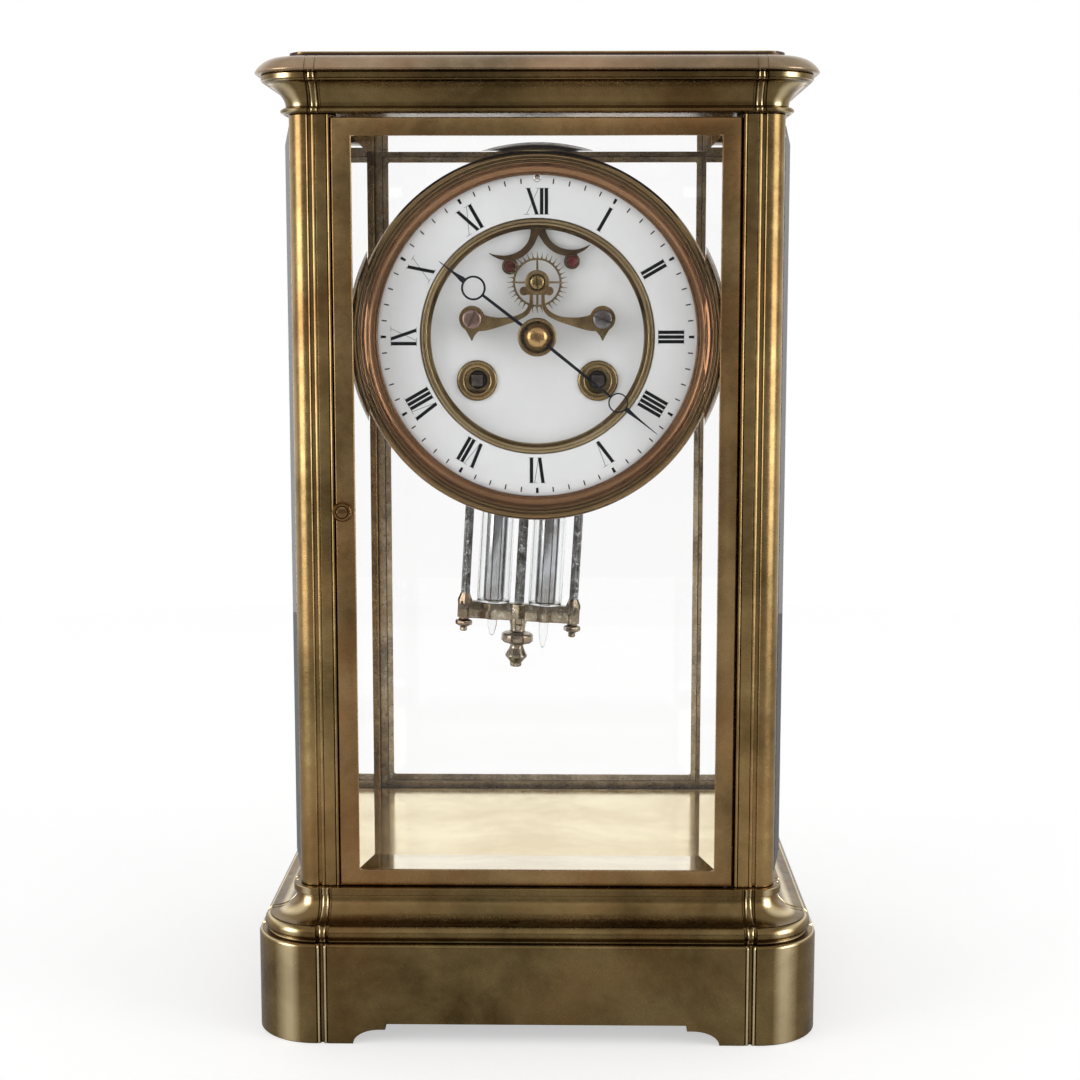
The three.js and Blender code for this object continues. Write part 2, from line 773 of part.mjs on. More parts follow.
function plinth() {
  const shell = moulding([
    [plinthProjection, 0],
    [plinthProjection, plinthHeight - plinthEdge],
    [plinthProjection - plinthEdge, plinthHeight],
  ]);
  const inside = moulding([
    [plinthProjection - plinthWall, -overrun],
    [plinthProjection - plinthWall, plinthHeight + overrun],
  ], false);
  const halfWidth = postHalfWidth + plinthProjection;
  const halfDepth = postHalfDepth + plinthProjection;
  const acrossCut = plate(footCut(halfWidth - footLength), -halfDepth - overrun, halfDepth + overrun);
  const alongCut = plate(footCut(halfDepth - footLength), -halfWidth - overrun, halfWidth + overrun)
    .rotateZ(Math.PI / 2);
  return cut(shell, inside, acrossCut, alongCut);
}

function baseMoulding() {
  const torusMiddle = baseBottom + baseTorusHeight / 2;
  const torusTop = baseBottom + baseTorusHeight;
  const neck = baseBottom + baseNeckHeight;
  const torusIn = baseTorusProjection - baseTorusRound;
  const outside = moulding([
    [torusIn, baseBottom],
    [baseTorusProjection, torusMiddle],
    [torusIn, torusTop],
    ...quarter([torusIn, torusTop], [baseNeckProjection, neck], true),
    [baseFilletProjection, neck + seat],
    [baseFilletProjection, baseTop],
  ]);
  const halfX = postHalfWidth - basePocketMargin;
  const halfY = postHalfDepth - basePocketMargin;
  const pocket = box(-halfX, halfX, -halfY, halfY, baseBottom - overrun, baseTop - baseWeb);
  const rails = sideRails(baseTop - baseWeb / 2, sideGlassBottom - seat, doorSill);
  return cut(join(outside, ...rails), pocket, ...pinHoles(baseTop - hingePinRoot, baseTop + overrun));
}

// Rails between the posts: one level ends at the glass edge, the other stands behind the glass.
function sideRails(root, glassEdge, backEdge) {
  const legEnd = -lipBack - legLength - seat;
  const levels = (edge) => [Math.min(root, edge), Math.max(root, edge)];
  const rails = [
    box(legInner, postHalfWidth, -legEnd, legEnd, ...levels(glassEdge)),
    box(legInner, glassSeat, -legEnd, legEnd, ...levels(backEdge)),
    box(glassSeat + seat, postHalfWidth, -sideGlassHalf, sideGlassHalf, ...levels(glassEdge)),
  ];
  return [...rails, ...rails.map((rail) => solid(rail).mirror([1, 0, 0]))];
}

function floorPlate() {
  const halfX = legInner - seat;
  const halfY = -lipBack - seat;
  return box(-halfX, halfX, -halfY, halfY, baseTop + seat, baseTop + seat + floorThickness);
}

// Both doors turn on upright pins, the rear one turned half way round from the front one.
function pinHoles(z0, z1) {
  const radius = boreRadius(hingePinRadius);
  return [1, -1].map((side) => post(radius, z0, z1, side * hingeX, side * hingeY));
}

// One post's plan, for the front right corner.
function postPlan() {
  const front = -postHalfDepth;
  const door = doorHalfWidth + seat;
  const plan = new THREE.Shape();
  plan.moveTo(door, front);
  plan.lineTo(cornerX - grooveWidth, front);
  plan.lineTo(cornerX - grooveWidth, front + grooveDepth);
  plan.lineTo(cornerX, front + grooveDepth);
  plan.lineTo(cornerX, front);
  plan.absarc(cornerX, -cornerY, postRound, -Math.PI / 2, 0, false);
  plan.lineTo(postHalfWidth, -sideGlassHalf - seat);
  plan.lineTo(glassSeat, -sideGlassHalf - seat);
  plan.lineTo(glassSeat, lipBack + legLength);
  plan.lineTo(legInner, lipBack + legLength);
  plan.lineTo(legInner, lipBack);
  plan.lineTo(lipInner, lipBack);
  plan.lineTo(lipInner, lipFront);
  plan.lineTo(door, lipFront);
  return plan;
}

function casePost(sideX, sideY) {
  const right = solid(prism(postPlan(), postBottom, postTop));
  const acrossX = sideX < 0 ? right.mirror([1, 0, 0]) : right;
  return sideY > 0 ? acrossX.mirror([0, 1, 0]) : acrossX;
}

function corniceFrame() {
  const astragalTop = corniceBottom + astragalHeight;
  const fillet = corniceBottom + corniceFilletHeight;
  const neck = [corniceNeckProjection, corniceBottom + corniceNeckHeight];
  const outside = moulding([
    [corniceNeckProjection, corniceBottom],
    [astragalProjection, corniceBottom + astragalHeight / 2],
    [corniceNeckProjection, astragalTop],
    neck,
    ...quarter(neck, [corniceFilletProjection, fillet], false),
    [corniceLipProjection, fillet + seat],
    [corniceLipProjection, corniceTop],
  ]);
  const rails = sideRails(corniceBottom + astragalHeight / 2, sideGlassTop + seat, doorHead);
  return cut(
    join(outside, ...rails),
    ceilingOpening(corniceBottom, corniceTop),
    ...pinHoles(corniceBottom - overrun, corniceTop - hingePinRoot),
  );
}

function ceilingOpening(z0, z1) {
  const halfX = postHalfWidth - corniceOpeningMargin;
  const halfY = postHalfDepth - corniceOpeningMargin;
  return box(-halfX, halfX, -halfY, halfY, z0 - overrun, z1 + overrun);
}

function capFrame() {
  const outside = moulding([
    [capProjection - capEdgeHeight, capBottom],
    [capProjection, capBottom + capEdgeHeight],
    ...quarter([capProjection, capBottom + capEdgeHeight], [capTopProjection, capTop], false),
  ]);
  return cut(outside, ceilingOpening(capBottom, capTop));
}

function topPanel() {
  return moulding([
    [-topPanelInset, capTop + seat],
    [-topPanelInset, capTop + seat + topPanelThickness / 2],
    [-topPanelInset * 2, capTop + seat + topPanelThickness],
  ], false);
}

function sideGlass(side) {
  const face = glassSeat + seat;
  const glass = bevelledGlass(
    sideGlassHalf, sideGlassBottom, sideGlassTop, -face - sideGlassThickness, -face, sideBevel, bevelDrop,
  );
  return glass.rotateZ(side * Math.PI / 2);
}

// Doors, drawn for the front and turned half way round for the rear

function doorPlan() {
  const start = Math.asin(hingeSetback / hingeInset);
  const plan = new THREE.Shape();
  plan.moveTo(-doorHalfWidth, doorPlane);
  plan.lineTo(hingeX + hingeInset * Math.cos(start), doorPlane);
  plan.absarc(hingeX, hingeY, hingeInset, -start, 0, false);
  plan.lineTo(doorHalfWidth, doorBack - hingeChamfer);
  plan.lineTo(doorHalfWidth - hingeChamfer, doorBack);
  plan.lineTo(-doorHalfWidth, doorBack);
  return plan;
}

function doorFrame() {
  const half = doorHalfWidth - stileWidth;
  const over = doorGlassOverlap + seat;
  const rebateFront = doorPlane + doorLipThickness;
  const opening = box(-half, half, doorPlane - overrun, doorBack + overrun, doorSill, doorHead);
  const rebate = box(
    -half - over, half + over, rebateFront, doorBack + overrun, doorSill - over, doorHead + over,
  );
  const radius = boreRadius(hingePinRadius);
  const lowerHole = post(radius, doorBottom - overrun, doorBottom + hingePinReach + seat, hingeX, hingeY);
  const upperHole = post(radius, doorTop - hingePinReach - seat, doorTop + overrun, hingeX, hingeY);
  const catchHole = bar(
    boreRadius(catchShaftRadius), doorPlane - overrun, doorBack + overrun, catchX, catchHeight,
  );
  return cut(prism(doorPlan(), doorBottom, doorTop), opening, rebate, lowerHole, upperHole, catchHole);
}

function doorGlass() {
  const half = doorHalfWidth - stileWidth + doorGlassOverlap;
  const front = doorPlane + doorLipThickness + seat;
  return bevelledGlass(
    half, doorSill - doorGlassOverlap, doorHead + doorGlassOverlap,
    front, front + doorGlassThickness, doorBevel, doorBevelDrop,
  );
}

function lowerHingePin() {
  return post(hingePinRadius, baseTop - hingePinRoot + seat, doorBottom + hingePinReach, hingeX, hingeY);
}

function upperHingePin() {
  return post(hingePinRadius, doorTop - hingePinReach, corniceTop - hingePinRoot - seat, hingeX, hingeY);
}

function doorCatch() {
  const knobBack = doorPlane - seat;
  const bladeFront = lipBack + seat;
  const half = catchBladeWidth / 2;
  const knob = turned([
    [0, knobBack - catchKnobThickness],
    [catchKnobRadius * catchEdgeShare, knobBack - catchKnobThickness],
    [catchKnobRadius, knobBack - catchKnobThickness * catchEdgeShare],
    [catchKnobRadius, knobBack],
    [0, knobBack],
  ], catchX, catchHeight, tubeSides);
  const shaft = bar(
    catchShaftRadius, knobBack - seat, bladeFront + catchBladeThickness, catchX, catchHeight,
  );
  const blade = box(
    catchX - half, catchX + half, bladeFront, bladeFront + catchBladeThickness,
    catchHeight - half, catchHeight + catchBladeLength,
  );
  return join(knob, shaft, blade);
}

// Dial

function bezel() {
  const lipFrontPlane = bezelFront + bezelLipDepth;
  const lipBackPlane = lipFrontPlane + bezelLipThickness;
  return turned([
    [bezelLipRadius, lipFrontPlane],
    [bezelLipRadius + bezelStep, bezelFront + bezelLipDepth / 2],
    [bezelLipRadius + bezelStep * 2, bezelFront + bezelBeadRise],
    [bezelRadius - bezelStep * 2, bezelFront],
    [bezelRadius - bezelStep, bezelFront],
    [bezelRadius, bezelFront + bezelStep],
    [bezelRadius, bezelBack],
    [bezelRadius - bezelWall, bezelBack],
    [bezelRadius - bezelWall, lipBackPlane],
    [bezelLipRadius, lipBackPlane],
    [bezelLipRadius, lipFrontPlane],
  ], 0, dialHeight);
}

function chapterRing() {
  const section = ringSection(chapterInnerRadius, chapterOuterRadius, chapterFront, chapterBack);
  const hole = bar(regulatorHole, chapterFront - overrun, chapterBack + overrun, 0, regulatorPlace.z);
  return cut(turned(section, 0, dialHeight), hole);
}

function sightRing() {
  const front = chapterFront - sightStand;
  const lipBack = anchorFront - escapeThickness;
  const ring = turned([
    [sightInnerRadius + sightWidth / 2, front],
    [sightOuterRadius, front + sightStand / 2],
    [sightOuterRadius, centreFront - seat],
    [sightOuterRadius - sightSleeve, centreFront - seat],
    [sightOuterRadius - sightSleeve, lipBack],
    [sightInnerRadius, lipBack],
    [sightInnerRadius, front + sightStand],
    [sightInnerRadius + sightWidth / 2, front],
  ], 0, dialHeight);
  const notch = box(
    -sightNotchHalf, sightNotchHalf, lipBack, centreFront + overrun,
    dialHeight + sightNotchFloor, dialHeight + sightOuterRadius + overrun,
  );
  return cut(ring, notch);
}

function dialCentre() {
  const disc = bar(centreRadius, centreFront, centreBack, 0, dialHeight, dialSides);
  const depth = [centreFront - overrun, centreBack + overrun];
  const holes = [
    bar(dialCentreHole, ...depth, 0, dialHeight, tubeSides),
    bar(boreRadius(ferruleTubeRadius, tubeSides), ...depth, goingPlace.x, goingPlace.z, tubeSides),
    bar(boreRadius(ferruleTubeRadius, tubeSides), ...depth, strikePlace.x, strikePlace.z, tubeSides),
    bar(hubRadius, ...depth, escapePlace.x, escapePlace.z),
    bar(anchorSlotRadius, ...depth, anchorPlace.x, anchorPlace.z),
  ];
  const feet = dialFootAngles.map((degrees) => {
    const angle = THREE.MathUtils.degToRad(degrees);
    return bar(
      dialFootRadius, centreBack - centreThickness / 2, frontPlateFront - seat,
      dialFootCircle * Math.cos(angle), dialHeight + dialFootCircle * Math.sin(angle),
    );
  });
  return cut(join(disc, ...feet), ...holes);
}

function ferrule(place) {
  return turned([
    [ferruleBore, centreFront - seat - ferruleFlange],
    [ferruleRadius - ferruleFlange, centreFront - seat - ferruleFlange],
    [ferruleRadius, centreFront - seat],
    [ferruleTubeRadius, centreFront - seat],
    [ferruleTubeRadius, centreBack],
    [ferruleBore, centreBack],
    [ferruleBore, centreFront - seat - ferruleFlange],
  ], place.x, place.z, tubeSides);
}

// Movement

function arborHoles(y0, y1) {
  const shafts = [
    [centreArborRadius, centre],
    [windingArborRadius, goingPlace],
    [windingArborRadius, strikePlace],
    [trainArborRadius, intermediatePlace],
    [trainArborRadius, thirdPlace],
    [trainArborRadius, escapePlace],
    [anchorArborRadius, anchorPlace],
    [hammerArborRadius, hammerPlace],
  ];
  return shafts.map(([radius, place]) => {
    const sides = radius === windingArborRadius ? tubeSides : pinSides;
    return bar(boreRadius(radius, sides), y0 - overrun, y1 + overrun, place.x, place.z, sides);
  });
}

function frontPlate() {
  const disc = bar(plateRadius, frontPlateFront, frontPlateBack, 0, dialHeight, drumSides);
  const stud = bar(
    studRadius, minuteWheelBack - studLength, frontPlateFront + plateThickness / 2,
    minuteWheelPlace.x, minuteWheelPlace.z,
  );
  return join(cut(disc, ...arborHoles(frontPlateFront, frontPlateBack)), stud);
}

function backPlate() {
  const disc = bar(plateRadius, backPlateFront, backPlateBack, 0, dialHeight, drumSides);
  const pillars = pillarAngles.map((degrees) => {
    const angle = THREE.MathUtils.degToRad(degrees);
    return bar(
      pillarRadius, frontPlateBack + seat, backPlateFront + plateThickness / 2,
      pillarCircle * Math.cos(angle), dialHeight + pillarCircle * Math.sin(angle),
    );
  });
  return join(cut(disc, ...arborHoles(backPlateFront, backPlateBack)), ...pillars);
}

function movementBracket(side) {
  const back = frontPlateFront - seat;
  const front = back - bracketThickness;
  const outer = legInner - seat;
  const z0 = dialHeight - bracketHeight / 2;
  const z1 = dialHeight + bracketHeight / 2;
  const strap = box(bracketInnerReach, outer, front, back, z0, z1);
  const tab = box(outer - bracketTab, outer, lipBack + seat, back, z0, z1);
  const made = join(strap, tab);
  return side < 0 ? made.mirror([1, 0, 0]) : made;
}

// A drum with its great wheel, bored for the winding arbor.
function barrel(place) {
  const drumFront = frontPlateBack + barrelDepth;
  const wheelFront = frontPlateBack + greatWheelDepth;
  const wheelBack = wheelFront + wheelThickness;
  const drum = bar(drumRadius, drumFront, drumFront + drumLength, place.x, place.z, drumSides);
  const boss = bar(windingArborRadius * 2, drumFront, wheelBack, place.x, place.z, tubeSides);
  const { shape } = wheelShape(barrelTeeth, barrelModule, wheelPhase);
  const teeth = plate(shape, wheelFront, wheelBack, place.x, place.z);
  const bore = bar(
    boreRadius(windingArborRadius, tubeSides), drumFront - overrun, wheelBack + overrun,
    place.x, place.z, tubeSides,
  );
  return cut(join(drum, boss, teeth), bore);
}

function windingArbor(place) {
  const half = windingSquare / 2;
  const squareFront = centreFront - ferruleFlange;
  const shaft = bar(windingArborRadius, frontPlateFront, backPlateBack, place.x, place.z, tubeSides);
  const square = box(
    place.x - half, place.x + half, squareFront, frontPlateFront + seat, place.z - half, place.z + half,
  );
  return join(shaft, square);
}

// Every wheel has a tooth along +X, and each pinion is turned to mesh with the wheel that drives it.
const wheelPhase = 0;
const barrelPinionPhase = meshPhase(
  wheelPhase, barrelTeeth, barrelPinionLeaves, goingPlace, intermediatePlace,
);
const centrePinionPhase = meshPhase(
  wheelPhase, intermediateTeeth, centrePinionLeaves, intermediatePlace, centre,
);
const thirdPinionPhase = meshPhase(wheelPhase, centreTeeth, trainPinionLeaves, centre, thirdPlace);
const escapePinionPhase = meshPhase(wheelPhase, thirdTeeth, trainPinionLeaves, thirdPlace, escapePlace);

function intermediateWheel() {
  const greatFront = frontPlateBack + greatWheelDepth;
  const wheelFront = frontPlateBack + intermediateWheelDepth;
  return join(
    bar(trainArborRadius, frontPlateFront, backPlateBack, intermediatePlace.x, intermediatePlace.z),
    pinion(barrelPinionLeaves, barrelModule, barrelPinionPhase, greatFront - pinionOverlap,
      greatFront + wheelThickness + pinionOverlap, intermediatePlace),
    wheel(intermediateTeeth, intermediateModule, wheelFront, intermediatePlace),
  );
}

function centreWheel() {
  const pinionFront = frontPlateBack + intermediateWheelDepth - pinionOverlap / 2;
  const wheelFront = frontPlateBack + centreWheelDepth;
  return join(
    bar(centreArborRadius, minuteHandFront - seat, backPlateBack, centre.x, centre.z),
    pinion(centrePinionLeaves, intermediateModule, centrePinionPhase, pinionFront,
      pinionFront + wheelThickness + pinionOverlap, centre),
    wheel(centreTeeth, centreModule, wheelFront, centre),
  );
}

function thirdWheel() {
  const centreFrontPlane = frontPlateBack + centreWheelDepth;
  const wheelFront = frontPlateBack + thirdWheelDepth;
  return join(
    bar(trainArborRadius, frontPlateFront, backPlateBack, thirdPlace.x, thirdPlace.z),
    pinion(trainPinionLeaves, centreModule, thirdPinionPhase, centreFrontPlane - pinionOverlap,
      centreFrontPlane + wheelThickness + pinionOverlap, thirdPlace),
    wheel(thirdTeeth, thirdModule, wheelFront, thirdPlace),
  );
}

function escapeWheel() {
  const thirdFront = frontPlateBack + thirdWheelDepth;
  const step = 2 * Math.PI / escapeTeeth;
  const tooth = [
    [escapeRootRadius, -escapeHeelShare], [escapeTipRadius, 0], [escapeRootRadius, escapeFaceShare],
  ];
  const points = [];
  for (let i = 0; i < escapeTeeth; i += 1) {
    for (const [radius, share] of tooth) {
      const angle = Math.PI / 2 + (i + share) * step;
      points.push([radius * Math.cos(angle), radius * Math.sin(angle)]);
    }
  }
  const shape = polygon(points);
  crossOut(shape, hubRadius, escapeRimRadius);
  return join(
    bar(trainArborRadius, bridgeFront, backPlateBack, escapePlace.x, escapePlace.z),
    plate(shape, escapeFront, escapeBack, escapePlace.x, escapePlace.z, windowSteps),
    pinion(trainPinionLeaves, thirdModule, escapePinionPhase, thirdFront - pinionOverlap,
      thirdFront + wheelThickness + pinionOverlap, escapePlace),
  );
}

// Anchor, drawn with its pivot at the origin of its own turned group
function anchor() {
  const middle = anchorArmShares.map(([reach, drop]) => [stoneReach * reach, -stoneDrop * drop]);
  const arm = ribbon(
    [...middle, [anchorTailReach, -anchorTailDrop]],
    [...anchorArmShares.map(([, , waists]) => anchorWaist * waists), anchorTailWidth],
  );
  const halves = [1, -1].map((side) => {
    const half = join(
      plate(arm, anchorFront, anchorBack),
      bar(stoneCollar, anchorFront, anchorBack, stoneReach, -stoneDrop, tubeSides),
    );
    return side < 0 ? half.mirror([1, 0, 0]) : half;
  });
  const stoneHoles = [1, -1].map((side) => bar(
    boreRadius(stoneRadius, tubeSides), anchorFront - overrun, anchorBack + overrun,
    side * stoneReach, -stoneDrop, tubeSides,
  ));
  const crutchBack = pendulumPlane - pendulumRodRadius - seat;
  const arbor = bar(anchorArborRadius, anchorFront, crutchBack);
  return cut(join(...halves, arbor, crutch(crutchBack)), ...stoneHoles);
}

// Arm behind the plates whose fork holds the pendulum's rod.
function crutch(back) {
  const front = back - crutchWidth;
  const forkTop = -crutchLength + crutchWidth;
  const inner = pendulumRodRadius + seat;
  const outer = inner + forkProng;
  return join(
    box(-crutchWidth / 2, crutchWidth / 2, front, back, -crutchLength, 0),
    box(-outer, outer, front, back, -crutchLength, forkTop),
    box(inner, outer, front, pendulumPlane + pendulumRodRadius, -crutchLength, forkTop),
    box(-outer, -inner, front, pendulumPlane + pendulumRodRadius, -crutchLength, forkTop),
  ).rotate([0, pendulumTurn - anchorTurn, 0]);
}

function palletStone(side) {
  return bar(stoneRadius, anchorBack - stoneLength, anchorBack, side * stoneReach, -stoneDrop, tubeSides);
}

function escapeBridge() {
  const lobes = [1, -1].map((side) => bar(
    bridgeLobeRadius, bridgeFront, bridgeBack, side * bridgeLobeReach, dialHeight + bridgeLobeRise, tubeSides,
  ));
  const head = bar(bridgeHeadRadius, bridgeFront, bridgeBack, 0, dialHeight + escapeRise, tubeSides);
  const shoulders = box(
    -bridgeLobeReach, bridgeLobeReach, bridgeFront, bridgeBack,
    dialHeight + bridgeLobeRise - bridgeStem / 2, dialHeight + escapeRise - bridgeStem / 2,
  );
  const arm = ribbon(
    bridgeArm.map(([reach, rise]) => [reach, rise]),
    bridgeArm.map(([, , halfWidth]) => halfWidth),
  );
  const spur = polygon([
    [bridgeEndReach - bridgeEndRadius, bridgeEndRise],
    [bridgeEndReach, bridgeEndRise - bridgeSpurRise],
    [bridgeSpurReach, -bridgeSpurDrop],
    [bridgeEndReach + bridgeSpurWidth, bridgeEndRise],
  ]);
  const wings = [1, -1].map((side) => {
    const end = [bridgeEndReach, dialHeight + bridgeEndRise, tubeSides];
    const half = join(
      plate(arm, bridgeFront, bridgeBack, 0, dialHeight),
      plate(spur, bridgeFront, bridgeBack, 0, dialHeight),
      bar(bridgeEndRadius, bridgeFront, bridgeBack, ...end),
      bar(bridgeFootRadius, bridgeFront, centreFront - seat, ...end),
    );
    return side < 0 ? half.mirror([1, 0, 0]) : half;
  });
  const pivotHole = bar(
    boreRadius(trainArborRadius), bridgeFront - overrun, bridgeBack + overrun, escapePlace.x, escapePlace.z,
  );
  const screwHoles = [1, -1].map((side) => bar(
    bridgeScrewShank + seat, bridgeFront - overrun, centreFront,
    side * bridgeEndReach, dialHeight + bridgeEndRise,
  ));
  return cut(join(head, shoulders, ...lobes, ...wings), pivotHole, ...screwHoles);
}

function bridgeScrew(side) {
  const x = side * bridgeEndReach;
  const z = dialHeight + bridgeEndRise;
  const headBack = bridgeFront - seat;
  const head = bar(bridgeScrewRadius, headBack - bridgeScrewHead, headBack, x, z, tubeSides);
  const shank = bar(bridgeScrewShank, headBack - bridgeScrewHead / 2, centreFront - seat, x, z);
  const slot = box(
    -bridgeScrewRadius * 2, bridgeScrewRadius * 2,
    headBack - bridgeScrewHead * 2, headBack - bridgeScrewHead / 2,
    -screwSlot / 2, screwSlot / 2,
  ).rotateY(-THREE.MathUtils.degToRad(screwSlotTurn)).translate(x, 0, z);
  return cut(join(head, shank), slot);
}

// Hands, drawn pointing at XII in a group that is turned to the time shown

function hand(length, ringPlace, ringRadius, colletRadius, bore, yFront) {
  const blade = ribbon(
    [[0, 0], [0, ringPlace - ringRadius], [0, ringPlace], [0, ringPlace + ringRadius], [0, length]],
    [handWidth / 2, handWidth / 2, handWidth / 2, handWidth / 2, handTip / 2],
  );
  const yBack = yFront + handThickness;
  const whole = join(
    plate(blade, yFront, yBack),
    bar(ringRadius, yFront, yBack, 0, ringPlace, tubeSides),
    bar(colletRadius, yFront, yBack, 0, 0, tubeSides),
  );
  return cut(
    whole,
    bar(ringRadius - ringWall, yFront - overrun, yBack + overrun, 0, ringPlace, tubeSides),
    bar(boreRadius(bore, tubeSides), yFront - overrun, yBack + overrun, 0, 0, tubeSides),
  );
}

function hourHand() {
  return hand(hourHandLength, hourRingPlace, hourRingRadius, hourColletRadius, hourTubeRadius, hourHandFront);
}

function minuteHand() {
  return hand(
    minuteHandLength, minuteRingPlace, minuteRingRadius,
    minuteColletRadius, cannonTubeRadius, minuteHandFront,
  );
}

function handNut() {
  const back = minuteHandFront - seat * 2;
  return turned(
    handNutShares.map(([radius, height]) => [handNutRadius * radius, back - handNutHeight * height]),
    centre.x, centre.z, tubeSides,
  );
}

const cannonPhase = 0;
const minuteWheelPhase = meshPhase(cannonPhase, cannonLeaves, minuteTeeth, centre, minuteWheelPlace);
const minutePinionPhase = 0;
const hourWheelPhase = meshPhase(minutePinionPhase, minuteLeaves, hourTeeth, minuteWheelPlace, centre);

function cannonPinion() {
  const tube = bar(
    cannonTubeRadius, minuteHandFront - seat / 2, minuteWheelBack, centre.x, centre.z, tubeSides,
  );
  const leaves = pinion(
    cannonLeaves, minuteModule, cannonPhase, cannonWheelFront, minuteWheelBack, centre,
  );
  const bore = bar(
    boreRadius(centreArborRadius), minuteHandFront - overrun, frontPlateFront, centre.x, centre.z,
  );
  return cut(join(tube, leaves), bore);
}

function minuteWheel() {
  const front = hourWheelFront - motionGap / 2;
  const back = minuteWheelBack;
  const { shape } = wheelShape(minuteTeeth, minuteModule, minuteWheelPhase);
  const teeth = plate(shape, cannonWheelFront, back, minuteWheelPlace.x, minuteWheelPlace.z);
  const leaves = pinion(minuteLeaves, hourModule, minutePinionPhase, front, back, minuteWheelPlace);
  const bore = bar(
    boreRadius(studRadius), front - overrun, back + overrun, minuteWheelPlace.x, minuteWheelPlace.z,
  );
  return cut(join(teeth, leaves), bore);
}

function hourWheel() {
  const back = hourWheelFront + motionThickness;
  const tube = bar(hourTubeRadius, hourHandFront, back, centre.x, centre.z, tubeSides);
  const { shape } = wheelShape(hourTeeth, hourModule, hourWheelPhase);
  const teeth = plate(shape, hourWheelFront, back, centre.x, centre.z);
  const bore = bar(
    boreRadius(cannonTubeRadius, tubeSides), hourHandFront - overrun, back + overrun,
    centre.x, centre.z, tubeSides,
  );
  return cut(join(tube, teeth), bore);
}

function regulatorArbor() {
  const half = regulatorSquareHalf;
  const z = regulatorPlace.z;
  return join(
    bar(regulatorRadius, chapterBack + seat, backPlateBack + cockFoot + overrun, 0, z),
    box(-half, half, chapterFront, chapterBack + motionThickness, z - half, z + half),
  );
}

// Pendulum, drawn hanging straight from its pivot at the origin of its own turned group

function pendulumRod() {
  const top = -rodTopDrop;
  const bottom = -bottomBarDrop + barHeight / 2 + seat;
  return join(
    post(pendulumRodRadius, bottom, top, 0, pendulumPlane),
    box(
      -springWidth / 2, springWidth / 2,
      pendulumPlane - springThickness / 2, pendulumPlane + springThickness / 2,
      top - rodTopDrop / 4, springRise,
    ),
    box(
      -springWidth / 2, springWidth / 2, pendulumPlane - pendulumRodRadius, pendulumPlane + pendulumRodRadius,
      top - springWidth, top,
    ),
  );
}

function pendulumFrame() {
  const bars = [topBarDrop, bottomBarDrop].map((drop) => box(
    -barHalfLength, barHalfLength, pendulumPlane - barDepth / 2, pendulumPlane + barDepth / 2,
    -drop - barHeight / 2, -drop + barHeight / 2,
  ));
  const rods = [1, -1].flatMap((side) => [
    post(sideRodRadius, -bottomBarDrop, -topBarDrop, side * barHalfLength, pendulumPlane),
    ...[topBarDrop, bottomBarDrop].map((drop) => post(
      barCollarRadius, -drop - barHeight / 2 - seat, -drop + barHeight / 2 + seat,
      side * barHalfLength, pendulumPlane,
    )),
    finial(sideFinialShares, sideFinialRadius, sideFinialLength, side * barHalfLength),
  ]);
  const rodHole = post(
    boreRadius(pendulumRodRadius + seat), -topBarDrop - barHeight, -topBarDrop + barHeight, 0, pendulumPlane,
  );
  const vialHoles = [1, -1].map((side) => post(
    vialHoleRadius, -bottomBarDrop - barHeight, -bottomBarDrop + barHeight, side * vialOffset, pendulumPlane,
  ));
  const middle = finial(finialShares, finialRadius, finialLength, 0);
  return cut(join(...bars, ...rods, middle), rodHole, ...vialHoles);
}

// A turned finial under the bottom bar, its top end inside the bar.
function finial(shares, radius, length, x) {
  const under = -bottomBarDrop - barHeight / 2;
  const profile = shares.map(([across, down]) => [radius * across, under - length * down]);
  const [neck] = profile[profile.length - 1];
  return turnedUpright([...profile, [neck, -bottomBarDrop], [0, -bottomBarDrop]], x, pendulumPlane);
}

function vial(side, tipLength) {
  const bottom = -bottomBarDrop + barHeight / 2 + seat;
  const top = -topBarDrop - barHeight / 2 - seat;
  return turnedUpright([
    ...vialTipShares.map(([across, down]) => [vialTipRadius * across, bottom - tipLength * down]),
    [vialTipRadius, bottom],
    [vialRadius, bottom],
    [vialRadius, top],
    [0, top],
  ], side * vialOffset, pendulumPlane, tubeSides);
}

function pendulumCock() {
  const z0 = anchorHeight - cockBelow;
  const z1 = anchorHeight + cockAbove;
  const footFront = backPlateBack + seat;
  const foot = box(-cockHalfWidth, cockHalfWidth, footFront, footFront + cockFoot, z0, z1);
  const rear = pendulumPlane + cockArm;
  const armFloor = anchorHeight + springRise + seat;
  const arm = solid(box(cockHalfWidth - cockArm, cockHalfWidth, footFront, rear, armFloor + cockArm, z1));
  const crossBar = box(-cockHalfWidth, cockHalfWidth, pendulumPlane - cockArm, rear, armFloor, z1);
  const holes = [[anchorArborRadius, anchorHeight], [regulatorRadius, regulatorPlace.z]].map(
    ([radius, z]) => bar(boreRadius(radius), backPlateBack, footFront + cockFoot + overrun, 0, z),
  );
  return cut(join(foot, arm, arm.mirror([1, 0, 0]), crossBar), ...holes);
}

// Bell and hammer

